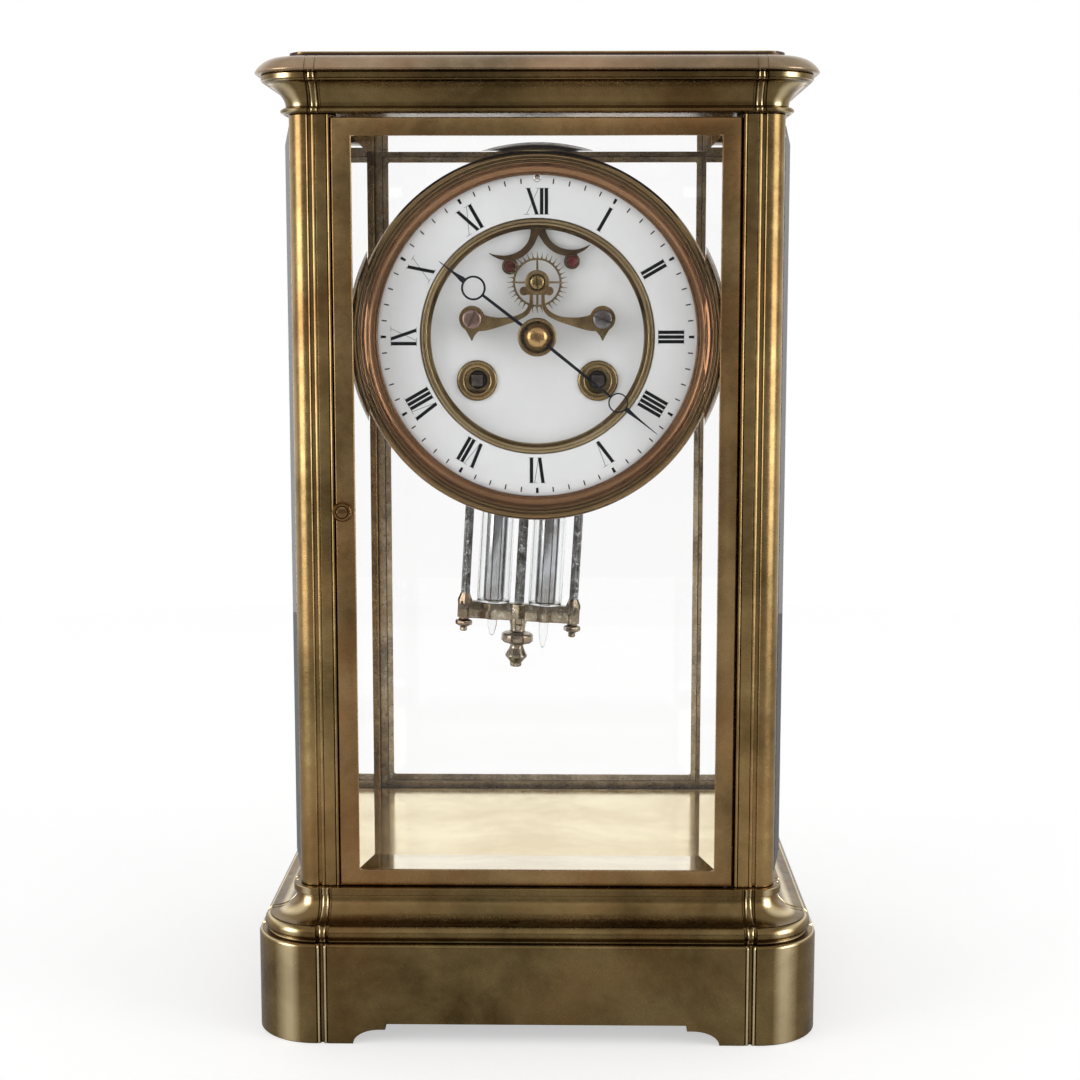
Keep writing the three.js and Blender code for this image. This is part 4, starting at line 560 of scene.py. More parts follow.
def mixed(tree, factor, a, b):
    made = node(tree, "ShaderNodeMix", data_type="RGBA", blend_type="MIX")
    for socket, value in ((made.inputs[0], factor), (made.inputs[6], a), (made.inputs[7], b)):
        if isinstance(value, bpy.types.NodeSocket):
            tree.links.new(value, socket)
        else:
            socket.default_value = value
    return made.outputs[2]


def roughened(tree, shader, heights, strength):
    """Gives a shader a fine relief."""
    relief = node(tree, "ShaderNodeBump", Strength=strength, Distance=RELIEF, Height=heights)
    feed(tree, shader, Normal=relief.outputs["Normal"])


def layered(tree, kind, *shaders, **values):
    """Sends two shaders, mixed or added, to the material's output."""
    made = node(tree, kind, **values)
    for socket, shader in zip(list(made.inputs)[-2:], shaders):
        tree.links.new(shader.outputs[0], socket)
    tree.links.new(made.outputs[0], tree.nodes["Material Output"].inputs["Surface"])


def straight_rays(tree, path):
    """1 for rays that come from the camera or through glass."""
    return maths(tree, "MAXIMUM", path.outputs["Is Camera Ray"], path.outputs["Is Transmission Ray"])


def tinted(base, weights, share=1.0):
    return [min(c * w * share, 1) for c, w in zip(base, weights)] + [1]


def new_material(name):
    made = bpy.data.materials.new(name)
    made.use_nodes = True
    return made, made.node_tree, made.node_tree.nodes["Principled BSDF"]


def material(look):
    """The look's material, made when it is first asked for."""
    name = f"{look}_finish"
    if name in bpy.data.materials:
        return bpy.data.materials[name]
    made, tree, shader = new_material(name)
    build = glass_look if look in GLASSES else coated_look if look in COATED else metal_look
    build(tree, shader, look)
    return made


def base_colour(look):
    return tuple(getattr(bpy.context.scene.clock_colours, look))


def corner_highlight_and_wear_band(tree):
    """How much painted highlight, partly wear, a face gets: 1 on the band of a rounded corner that looks mostly
    forwards or back.
    """
    normal = node(tree, "ShaderNodeNewGeometry").outputs["Normal"]
    across = maths(tree, "ABSOLUTE", node(tree, "ShaderNodeSeparateXYZ", Vector=normal).outputs["X"])
    return maths(tree, "MULTIPLY", ranged(tree, across, 0.24, 0.38, 0, 1),
                 ranged(tree, across, 0.46, 0.66, 1, 0))


def metal_look(tree, shader, look):
    """Metal with mottled patina, painted shade with some dirt in its corners, uneven polish and fine scratches,
    and on the case's rounded corners a painted highlight that is partly wear.
    """
    _, rough_low, rough_high, mottle, blush, shade_and_dirt_amount, bump, scale = METALS[look]
    base = base_colour(look)
    place = node(tree, "ShaderNodeTexCoord").outputs["Object"]
    blotches = noise(tree, place, scale, 6, 0.62, 0.2)
    specks = noise(tree, place, scale * 9, 5, 0.7)
    dark, light = tinted(base, DARKENED, 1 - mottle), tinted(base, EVEN, 1 + mottle * 0.45)
    tone = mixed(tree, ranged(tree, blotches, 0.36, 0.64, 0, 1), dark, light)
    if blush:
        reddened = noise(tree, place, scale * 0.6 + 3, 4, 0.6)
        tone = mixed(tree, ranged(tree, reddened, 0.45, 0.68, 0, blush), tone, tinted(base, COPPERY))
    tone = mixed(tree, ranged(tree, specks, 0.60, 0.75, 0, mottle * 0.7), tone, dark)
    if look in FLECKS:
        share, fleck_scale = FLECKS[look]
        flecks = noise(tree, place, fleck_scale, 3, 0.7)
        grey = [min(0.55 + c * 0.45, 1) for c in base] + [1]
        tone = mixed(tree, ranged(tree, flecks, 0.54, 0.64, 0, share), tone, grey)
    # Painted highlight streak, partly wear: paler, a little smoother brass on a band of the rounded corners
    if look in WEAR_AND_HIGHLIGHT:
        corner_sheen_and_wear = maths(tree, "MULTIPLY", corner_highlight_and_wear_band(tree), ranged(tree, blotches, 0.35, 0.65, 0.65, 1))
        tone = mixed(tree, corner_sheen_and_wear, tone, tinted(base, WEAR_AND_HIGHLIGHT[look]))
    # Painted shade, partly dirt: occlusion darkens the colour and roughens the surface in crevices and hollows
    crevice = node(tree, "ShaderNodeAmbientOcclusion", samples=12, Distance=SHADE_AND_DIRT_REACH)
    crevice_shade_and_grime = ranged(tree, crevice.outputs["AO"], 0.15, 0.60, shade_and_dirt_amount, 0)
    rough = maths(tree, "ADD", ranged(tree, specks, 0.3, 0.7, rough_low, rough_high),
                  ranged(tree, crevice_shade_and_grime, 0, 1, 0, 0.25))
    if look in WEAR_AND_HIGHLIGHT:
        rough = maths(tree, "SUBTRACT", rough, ranged(tree, corner_sheen_and_wear, 0, 1, 0, 0.10))
    feed(tree, shader, Base_Color=mixed(tree, crevice_shade_and_grime, tone, tinted(base, SHADE_AND_GRIME_TINT)), Metallic=1.0, Roughness=rough)
    if bump:
        stretched = node(tree, "ShaderNodeMapping", Vector=place, Scale=SCRATCH_STRETCH)
        scratches = noise(tree, stretched.outputs["Vector"], 1.0, 3, 0.6)
        roughened(tree, shader, maths(tree, "ADD", specks, scratches), bump)


def coated_look(tree, shader, look):
    """Enamel, paint, blued steel and ruby: a coloured surface under a gloss that is not quite even."""
    _, scale, share, rough_low, rough_high, specular, coat = COATED[look]
    base = base_colour(look)
    cloud = noise(tree, node(tree, "ShaderNodeTexCoord").outputs["Object"], scale, 5, 0.6)
    tone = mixed(tree, ranged(tree, cloud, 0.3, 0.7, 0, 1), tinted(base, EVEN, 1 - share),
                 tinted(base, EVEN, 1 + share))
    feed(tree, shader, Base_Color=tone, Roughness=ranged(tree, cloud, 0.3, 0.7, rough_low, rough_high),
         Metallic=0.0, Specular_IOR_Level=specular, Coat_Weight=coat)
    roughened(tree, shader, cloud, 0.04)


def glass_look(tree, shader, look):
    """Clear glass with faint haze in its polish, that lets most light through to what stands behind it."""
    tint = GLASSES[look][1]
    haze = noise(tree, node(tree, "ShaderNodeTexCoord").outputs["Object"], 25, 3)
    tone = mixed(tree, ranged(tree, haze, 0.4, 0.7, 0, 1), tint, tinted(tint[:3], EVEN, 0.99))
    feed(tree, shader, Base_Color=tone, Metallic=0.0, Roughness=0.0, IOR=GLASS_IOR,
         Specular_Tint=(0.4, 0.4, 0.4, 1), Transmission_Weight=1.0)
    clear = node(tree, "ShaderNodeBsdfTransparent", Color=(GLASS_SHADE, GLASS_SHADE, GLASS_SHADE, 1))
    shadow = node(tree, "ShaderNodeLightPath").outputs["Is Shadow Ray"]
    layered(tree, "ShaderNodeMixShader", shader, clear, Fac=shadow)


# Case ----------------------------------------------------------------------------------------------------

QUIRK_BEADS = [  # groove between two thin beads beside a corner: distance from the corner's start, depth
    (0, 0), (0.35, 0), (0.6, 0.55), (0.85, 0.15), (1.15, 0), (1.5, 0.15), (1.75, 0.7), (2, 1.4),
    (2.7, 1.4), (2.95, 0.7), (3.2, 0.15), (3.55, 0), (3.85, 0.15), (4.1, 0.55), (4.35, 0), (5.2, 0),
]
QUIRK_RIB = [    # half-round rib between two grooves
    (0, 0), (0.2, 0.35), (0.35, 1.3), (0.85, 1.3), (1, 0.8), (1.3, 0.38), (1.75, 0.1), (2.35, 0),
    (2.95, 0.1), (3.4, 0.38), (3.7, 0.8), (3.85, 1.3), (4.35, 1.3), (4.5, 0.35), (4.7, 0), (5.2, 0),
]
QUIRK_LINES = [  # two narrow lines
    (0, 0), (0.4, 0), (0.5, 0.5), (0.8, 0.5), (0.9, 0), (1.4, 0), (2, 0), (2.6, 0),
    (3, 0), (3.3, 0), (3.7, 0), (3.8, 0.5), (4.1, 0.5), (4.2, 0), (4.7, 0), (5.2, 0),
]


def case_outline(offset, quirk, share, steps=12):
    """The case's plan at an offset from the post faces, with the quirks beside each corner."""
    s = sizes()
    cx, cy = s["half_width"] - s["corner"], s["half_depth"] - s["corner"]
    radius = s["corner"] + offset
    made = []
    for sx, sy in ((1, -1), (1, 1), (-1, 1), (-1, -1)):
        along_x = [(sx * (cx - run), sy * (s["half_depth"] + offset - deep * share)) for run, deep in quirk]
        along_y = [(sx * (s["half_width"] + offset - deep * share), sy * (cy - run)) for run, deep in quirk]
        bend = [(sx * (cx + radius * math.cos(a)), sy * (cy + radius * math.sin(a)))
                for a in (math.pi / 2 * (1 - i / steps) for i in range(1, steps))]
        corner = along_x[::-1] + bend + along_y
        made += corner if sx * sy < 0 else corner[::-1]
    return made


def moulding(profile, quirk):
    """A closed body swept round the case along (offset, height[, quirk share]) points."""
    return skin([[(x, y, p[1]) for x, y in case_outline(p[0], quirk, p[2] if len(p) > 2 else 1)]
                 for p in profile])


def foot_arch(half_span):
    """The cut between two feet: a stepped apron with a curve at each end."""
    right = [(half_span - 11.4, 7.3), (half_span - 11.4, 5.2)]
    right += arc(half_span - 9.4, 0, 9.4, 90, 0, 10, 5.2) + [(half_span, -3)]
    return mirrored(right) + right


def build_plinth():
    s = sizes()
    face, arch_inset, hollow = 15.1, 35.5, (95, 81.2)
    top = [(face - 1.1 * (1 - math.cos(a)), 34.85 + 1.15 * math.sin(a), 1 - 0.3 * math.sin(a))
           for a in (math.radians(d) for d in (0, 22, 45, 67, 90))]
    shell = moulding([(14.8, 0, 0.9), (face, 0.35), (face, 12), (face, 24), *top, (13.4, 36, 0.5)], QUIRK_BEADS)
    inside = prism(soften(rectangle(-hollow[0], -hollow[1], *hollow), 21, 6), -3, 39)
    across = plate(foot_arch(s["half_width"] + face - arch_inset), -95, 95, edge=0)
    along = plate(foot_arch(s["half_depth"] + face - arch_inset), -110, 110, edge=0)
    along.transform(Matrix.Rotation(math.pi / 2, 4, "Z"))
    piece("plinth_shell", cut(shell, [inside, across, along]), "case_brass", "case", ["plinth"], 28)


def side_rails(root, glass_edge, back_edge):
    """Rails under or over the side glasses, on both sides."""
    return [block((side * x0, -half_y, root), (side * x1, half_y, edge), 0.25) for side, _ in SIDES
            for x0, x1, half_y, edge in ((78.05, 84.7, 53.7, glass_edge), (78.05, 82.15, 53.7, back_edge),
                                         (82.55, 84.75, 61.4, glass_edge))]


def ceiling(low, high):
    return block((-67.8, -54, low), (67.8, 54, high))


def build_base():
    torus = arc(10.7, 38.95, 2.4, -90, 90, 12, 2.6)
    cove = arc(11.1, 49.5, 9.6, 270, 180, 10, 7.75)
    profile = [(11.9, 36.02), (11.6, 36.4), *torus[1:], (10.7, 41.65), *cove, (1.5, 49.75), (2.35, 49.85),
               (2.6, 50.05), (2.6, 52.2), (2.35, 52.45), (1.5, 52.5)]
    body = cut(moulding(profile, QUIRK_RIB), [block((-70.8, -57, 33), (70.8, 57, 49.5))])
    piece("base_moulding_body", joined(body, *side_rails(51, 55.6, 58.5)), "case_brass", "case",
          ["base_moulding"], 30)
    dress("floor_brass", "floor_plate")


def build_cornice():
    astragal = arc(0.75, 323.45, 2.15, -90, 90, 10, 1.12)
    cove = smooth_line([(1.05, 325), (1.15, 325.9), (1.7, 327.4), (2.9, 329.1), (4.3, 330.7), (6.2, 332.2),
                        (7.9, 332.75)], 4)
    profile = [*astragal, (1.05, 324.75), *cove, (8.1, 333.1), (8.9, 333.15), (9.3, 333.4), (9.3, 334.95),
               (9.1, 335.2), (7.5, 335.2)]
    body = cut(moulding(profile, QUIRK_RIB), [ceiling(319, 338)])
    piece("cornice_body", joined(body, *side_rails(323.4, 319.2, 315)), "case_brass", "case", ["cornice"], 30)


def build_cap():
    bull = smooth_line([(10.4, 335.5), (11.1, 335.75), (11.3, 336.3), (10.7, 337.3), (9.6, 338.5),
                        (8.2, 339.6), (6.3, 340.5), (4.2, 341), (3, 341.1)], 4)
    body = cut(moulding([(6, 335.22), (8.6, 335.3), *bull], QUIRK_LINES), [ceiling(332, 345)])
    piece("cap_body", body, "cap_brass", "case", ["cap_moulding"], 30)


def build_top_panel():
    flat = [(run, 0) for run, _ in QUIRK_LINES]
    panel = moulding([(-1, 341.4), (-0.6, 341.6), (-0.6, 342.4), (-0.75, 342.75), (-1.1, 342.95), (-1.5, 343)],
                     flat)
    piece("top_panel_board", panel, "dark_brass", "case", ["top_panel"], 30)
    rim = moulding([(-1, 342.2), (-0.55, 342.35), (-0.5, 342.6), (-0.62, 342.85), (-1.1, 342.9)], flat)
    hole = prism(rectangle(-83.5, -69.7, 83.5, 69.7), 341, 344)
    piece("top_panel_edge", cut(rim, [hole]), "bright_brass", "case", (), 30)


def post_plan():
    """Plan of the front right post: bead, flat, reed, groove and rounded corner, then its legs behind."""
    front = -71.0
    plan = [(70, -69.9), (70.1, -70.5), (70.35, -70.9), (70.75, front), (71.1, -70.85), (71.3, -70.45),
            (71.5, -70.95), (71.8, front), (74.8, front), (75.1, -70.9), (75.2, -70.3), (75.4, -70.8),
            (75.85, front), (76.3, -70.75), (76.5, -70), (76.6, -69.5), (77.6, -69.5), (77.75, -70.1),
            (77.85, -70.8), (78.1, front)]
    plan += arc(78.1, -64.3, 6.7, -86, 0, 14)
    plan += [(84.8, -63.6), (84.5, -63.45), (84.5, -63.1), (84.8, -62.95), (84.8, -62), (84.6, -61.8),
             (82.2, -61.8), (82.2, -54.2), (82, -54), (78.2, -54), (78, -54.2), (78, -61),
             (68.8, -61), (68.6, -61.2), (68.6, -64.5), (68.8, -64.7), (70, -64.7)]
    return plan


def build_posts():
    right = prism(post_plan(), 52.8, 322)
    for name, sx, sy in CORNERS:
        mesh = right.copy()
        mesh.transform(Matrix.Diagonal((sx, sy, 1, 1)))
        if sx * sy < 0:
            mesh.flip_normals()
        piece(f"{name}_column", mesh, "post_brass", "case", [f"post_{name}"], 26)


# Doors ---------------------------------------------------------------------------------------------------

def door_frame():
    """A mitred frame: its section runs round the opening, with the hinge side's edge rounded further."""
    loops = []
    edge, hinge_edge, chamfer_start, hinge_chamfer_start = 0.45, 2.7, 5.7, 4.5
    for deep in (6, 5.5, 5, 4.5, 1.8, 1.3, 0.8, 0.45, 0.2, 0.06, 0):
        plain = (edge - math.sqrt(edge ** 2 - (edge - deep) ** 2) if deep < edge
                 else max(deep - chamfer_start, 0))
        hinge = (hinge_edge - math.sqrt(hinge_edge ** 2 - (1.8 - deep) ** 2) if deep < 1.8
                 else max(deep - hinge_chamfer_start, 0))
        loops.append((deep, rectangle(-69.7 + plain, 52.9 + plain, 69.7 - hinge, 321.1 - plain)))
    for inset, deep in ((0.5, 0), (0.22, 0.05), (0.06, 0.2), (0, 0.5), (0, 1.45), (0.1, 1.5), (2.6, 1.5),
                        (2.6, 5.9), (2.6, 6)):
        loops.append((deep, rectangle(-63 - inset, 58.5 - inset, 63 + inset, 315 + inset)))
    return skin([[(x, DOOR_FRONT + deep, z) for x, z in loop] for deep, loop in loops], True)


def catch():
    axis = (-67.3, 186.8)
    knob = lathe([(0, -73.9), (1.2, -73.86), (1.9, -73.6), (2.1, -73.35), (2.3, -73.62), (2.9, -73.5),
                  (3.35, -72.9), (3.5, -72.3), (3.45, -71.7), (3.2, -71.3), (0, -71.3)], axis, 64)
    shaft = lathe([(0.9, -71.6), (0.9, -59.8), (0, -59.7)], axis, 24)
    blade = plate(soften([(-68.2, 185.9), (-66.4, 185.9), (-66.4, 191.4), (-66.8, 191.8), (-67.8, 191.8),
                          (-68.2, 191.4)], 0.3), -60.7, -59.7)
    return joined(knob, shaft, blade)


def door_glass():
    """Thick plate glass with a wide polished bevel all round its front edge."""
    return skin([[(x, DOOR_FRONT + deep, z) for x, z in
                  rectangle(-65.4 + inset, 56.1 + inset, 65.4 - inset, 317.4 - inset)]
                 for inset, deep in ((0, 5.75), (0, 3.95), (0.12, 3.8), (7.45, 1.57), (7.75, 1.52))])


def both_doors(mesh, suffix, looks, body, node_suffix, sharp):
    """Places a front door's mesh there, and turned half round on the rear door."""
    for name, look, made in (("front", looks[0], mesh), ("rear", looks[1], spun(mesh))):
        piece(f"{name}_{suffix}", made, look, f"{name}_{body}", [f"{name}_{node_suffix}"], sharp)


def build_door_frames():
    both_doors(door_frame(), "door_rails", ("door_brass", "tarnished"), "door", "door_frame", 30)
    dress("steel", *(f"{door}_hinge_pin_{end}" for door in ("front", "rear") for end in ("lower", "upper")))


def build_catches():
    both_doors(catch(), "knob", ("bezel_brass", "bezel_brass"), "catch", "catch", 30)


def build_glasses():
    both_doors(door_glass(), "bevelled_glass", ("clear_glass", "clear_glass"), "door", "glass", 1)
    dress("clear_glass", "side_glass_left", "side_glass_right")


# Dial ----------------------------------------------------------------------------------------------------

NUMERALS = ["XII", "I", "II", "III", "IIII", "V", "VI", "VII", "VIII", "IX", "X", "XI"]
THICK, THIN, SERIF = 1.22, 0.15, 0.11
GLYPH_WIDTH = {"I": 1.22, "V": 3.7, "X": 4.3}
GLYPH_GAP = 0.42


def stroke(foot, head, width, height):
    """A slanted bar from the numeral's foot to its head."""
    half = width / 2
    return [(foot - half, 0), (foot + half, 0), (head + half, height), (head - half, height)]


def numeral_shapes(text, height):
    """Strokes and serifs of a number, from its foot at zero and centred on zero."""
    shapes = []
    x = -(sum(GLYPH_WIDTH[c] for c in text) + GLYPH_GAP * (len(text) - 1)) / 2
    for glyph in text:
        width = GLYPH_WIDTH[glyph]
        middle, left, thick, thin = x + width / 2, x + THICK / 2, x + width - THICK / 2, x + width - THIN / 2
        if glyph == "I":
            strokes, ends = [(middle, middle, THICK)], [(middle, 0), (middle, height)]
        elif glyph == "V":
            strokes = [(middle, left, THICK), (middle + 0.35, thin, THIN)]
            ends = [(left, height), (thin, height)]
        else:
            strokes = [(thick, left, THICK), (x + THIN / 2, thin, THIN)]
            ends = [(thick, 0), (left, height), (x + THIN / 2, 0), (thin, height)]
        shapes += [stroke(foot, head, wide, height) for foot, head, wide in strokes]
        shapes += [rectangle(at - 1, level - SERIF / 2, at + 1, level - SERIF / 2 + SERIF)
                   for at, level in ends]
        x += width + GLYPH_GAP
    return shapes


def radial(points, degrees, radius):
    """Moves an upright shape out to a radius and turns it clockwise from XII."""
    turn = math.radians(-degrees)
    return [(x * math.cos(turn) - (z + radius) * math.sin(turn),
             x * math.sin(turn) + (z + radius) * math.cos(turn)) for x, z in points]


def thin_plates(shapes, front, back, height):
    """Flat painted shapes, each a thin closed prism."""
    return joined(*(skin([[(x, y, z + height) for x, z in shape] for y in (front, back)], weld=0)
                    for shape in shapes))


def build_bezel():
    rim = ring([(60.65, -43.8), (64.25, -43.8), (64.25, -57), (64, -58), (63.4, -58.75), (62.7, -59),
                (62.15, -58.85), (61.95, -58.3), (61.75, -58.3), (61.5, -58.65), (61.1, -58.55), (60.85, -58),
                (60.6, -57.7), (60.45, -57.7), (60.45, -53.3), (60.65, -53.3)], on_dial(), 256, 0.1)
    piece("bezel_ring", rim, "bezel_brass", "case", ["bezel"], 28)
    cove = ring([(60.4, -57.5), (60.2, -57.75), (59.9, -57.65), (59.3, -56.75), (58.6, -56.1), (57.8, -55.75),
                 (57.1, -55.6), (56.95, -55.35), (56.75, -55.35), (56.6, -55.6), (56.3, -55.6), (56, -55.3),
                 (56, -53.3), (60.4, -53.3)], on_dial(), 256, 0.1)
    piece("bezel_cove", cove, "cove_copper", "case", (), 28)


def build_enamel():
    centre = on_dial()
    chapter = ring(rectangle(41.3, ENAMEL_FACE, 58, -51.5), centre, 192, 0.25, 2)
    hole = rod(1.4, -56, -50, on_dial(0, REGULATOR_RISE), 32)
    piece("enamel_ring", cut(chapter, [hole]), "enamel", "case", ["chapter_ring"], 30)

    dish = lathe([(0, -48), (30, -48), (33.5, -48.05), (35.5, -48.3), (37, -48.75), (38, -49.2), (38.4, -49.3),
                  (38.6, -48.6), (40.5, -48), (40.7, -47.8), (40.7, -46.7), (0, -46.7)], centre, 192)
    holes = [rod(radius, -51, -45, at, sides) for radius, at, sides in (
        (4.4, centre, 48), (2, on_dial(0, ESCAPE_RISE), 32), (3, on_dial(0, PIVOT_RISE), 32),
        (5.1, winding(-1), 48), (5.1, winding(1), 48))]
    feet = [lathe([(1.5, -47), (1.5, -41.3), (0, -41.3)],
                  around_dial(30, degrees), 24) for degrees in (45, 200, 340)]
    piece("dial_centre_dish", joined(cut(dish, holes), *feet), "enamel", "case", ["dial_centre"], 40)


def build_dial_marks():
    s = sizes()
    shapes = [radial(shape, hour * 30, s["numeral_foot"]) for hour, text in enumerate(NUMERALS)
              for shape in numeral_shapes(text, s["numeral_height"])]
    for minute in range(1, 60):
        inner, outer, height = (0.40, 0.52, 1.9) if minute % 5 == 0 else (0.22, 0.22, 1.8)
        mark = [(-inner, 0), (inner, 0), (outer, height), (-outer, height)]
        shapes.append(radial(mark, minute * 6, 53.2))
    paint = thin_plates(shapes, ENAMEL_FACE - s["numeral_depth"], ENAMEL_FACE + 0.02, s["dial_height"])
    piece("dial_marks", paint, "paint", "case", (), 30)


def build_sight_ring():
    z = sizes()["dial_height"]
    moulded = ring([(40.2, -48.3), (41, -48.3), (41, -53), (40.85, -53.35), (40.3, -53.6), (40, -53.5),
                    (39.75, -53.75), (39.4, -53.98), (39, -53.95), (38.7, -53.6), (37.9, -52.75), (37.5, -52.2),
                    (37.5, -51.4), (40.2, -51.4)], on_dial(), 192, 0.2)
    notch = block((-6, -51.4, z + 18.75), (6, -46, z + 44))
    piece("sight_ring_moulded", cut(moulded, [notch]), "sight_brass", "case", ["sight_ring"], 50)


def build_eyelets():
    for side, name in SIDES:
        rim = ring([(4.4, -46.7), (5, -46.7), (5, -48.25), (7.15, -48.3), (7.2, -48.6), (6.9, -49),
                    (6.2, -49.3), (5.5, -49.3), (4.9, -49.15), (4.45, -48.8)], winding(side), 96, 0.3)
        piece(f"winding_eyelet_{name}", rim, "eyelet_brass", "case", [f"winding_ferrule_{name}"], 50)


def hand(ring_rise, outer, wall, reach, front, widths):
    """A hand that points at XII: shaft, ring and pointed end."""
    root, neck, spade, tip = widths
    back, inner = front + 0.6, outer - wall
    start, end = ring_rise - outer + wall * 0.5, ring_rise + outer - wall * 0.5
    run = reach - end
    shaft = ribbon([(0, 2, root), (0, (ring_rise - outer) * 0.6, (root + neck) / 2), (0, start, neck)])
    point = ribbon([(0, end, spade * 0.8), (0, end + 0.9, spade), (0, end + run * 0.35, (spade + tip) * 0.42),
                    (0, end + run * 0.7, tip * 1.1), (0, reach, tip * 0.5)])
    hoop = lathe([(inner, front + 0.1), (inner + 0.1, front), (outer - 0.1, front), (outer, front + 0.1),
                  (outer, back - 0.1), (outer - 0.1, back), (inner + 0.1, back), (inner, back - 0.1),
                  (inner, front + 0.1)], on_dial(0, ring_rise), 72)
    return joined(hoop, *(plate(shape, front + 0.02, back - 0.02, edge=0.1, at=on_dial())
                          for shape in (shaft, point)))


def build_hands():
    centre = on_dial()
    hour = hand(28, 4.3, 0.72, 43, -56.8, (0.62, 0.5, 1, 0.24))
    piece("hour_hand_blade", turned(hour, HOUR_TURN, *centre), "blued", "hour_hand", ["hour_hand"], 40)
    cup = ring([(3.45, -56.75), (4.9, -56.75), (5.6, -57.1), (6.2, -57.2), (6.7, -56.9), (6.8, -56.5),
                (6.6, -56.1), (6.6, -55.9), (3.45, -55.9)], centre, 96, 0.2)
    piece("hour_collet", cup, "bronze", "hour_hand", (), 40)
    hub = lathe([(2.25, -57.65), (2.35, -57.7), (3.4, -57.7), (3.6, -57.5), (3.6, -57.25), (3.45, -57.1),
                 (2.25, -57.1), (2.25, -57.65)], centre, 72)
    minute = joined(hand(36.5, 3.5, 0.5, 54, -57.7, (0.6, 0.45, 0.85, 0.22)), hub)
    piece("minute_hand_blade", turned(minute, MINUTE_TURN, *centre), "blued", "minute_hand", ["minute_hand"],
          40)
    dress("steel", "cannon_pinion")
    dress("movement_brass", "hour_wheel", "minute_wheel")


def build_hand_nut():
    nut = lathe([(0, -60.9), (1.4, -60.88), (2.4, -60.6), (3.3, -60.15), (3.9, -59.5), (4.2, -59.1),
                 (4.4, -58.9), (4.4, -58.5), (4.2, -58.3), (0, -58.3)], on_dial(), 96)
    piece("hand_nut_slotted", slotted(nut, on_dial(), 6, 0.35, -62, -60.3, 62), "bright_brass",
          "minute_hand", ["hand_nut"], 40)


# Escapement ----------------------------------------------------------------------------------------------

def toothed(tooth, count, phase):
    """Outline of a wheel whose teeth follow (radius, share of the pitch) points."""
    made = []
    for i in range(count):
        for radius, share in tooth:
            turn = phase + (i + share) * 2 * math.pi / count
            made.append((radius * math.cos(turn), radius * math.sin(turn)))
    return made


def escape_pinion(at):
    """The escape arbor's six leaved pinion, its leaves where the CAD pinion has them."""
    low, high = -0.0095, -0.006
    tip = max((v.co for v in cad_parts["escape_wheel"].data.vertices if low < v.co.y < high),
              key=lambda co: math.hypot(co.x, co.z - at[1] * MM))
    leaf = [(0.72, -0.32), (0.95, -0.22), (1.25, -0.1), (1.3, 0), (1.25, 0.1), (0.95, 0.22), (0.72, 0.32)]
    return plate(toothed(leaf, 6, math.atan2(tip.z - at[1] * MM, tip.x)), -9.3, -6.2, edge=0.05, at=at)


def build_escape_wheel():
    at = on_dial(0, ESCAPE_RISE)
    tooth = [(8.55, -0.30), (9.4, -0.13), (10.2, -0.03), (10.7, 0.03), (10.68, 0.09), (9.9, 0.06), (9.1, 0.06),
             (8.6, 0.14), (8.5, 0.4)]
    wheel = plate(toothed(tooth, 36, math.pi / 2), -52.2, -51.4, windows(2, 7.8, 4, 0.7), 0.05, at=at)
    hub = lathe([(0, -52.9), (1.2, -52.9), (1.5, -52.6), (1.6, -52.2), (1.6, -51.2), (1.2, -50.9), (0, -50.9)],
                at)
    piece("escape_wheel_cut", joined(wheel, hub, rod(0.55, -54.6, -3.1, at, 24), escape_pinion(at)),
          "sight_brass", "escape_wheel", ["escape_wheel"])


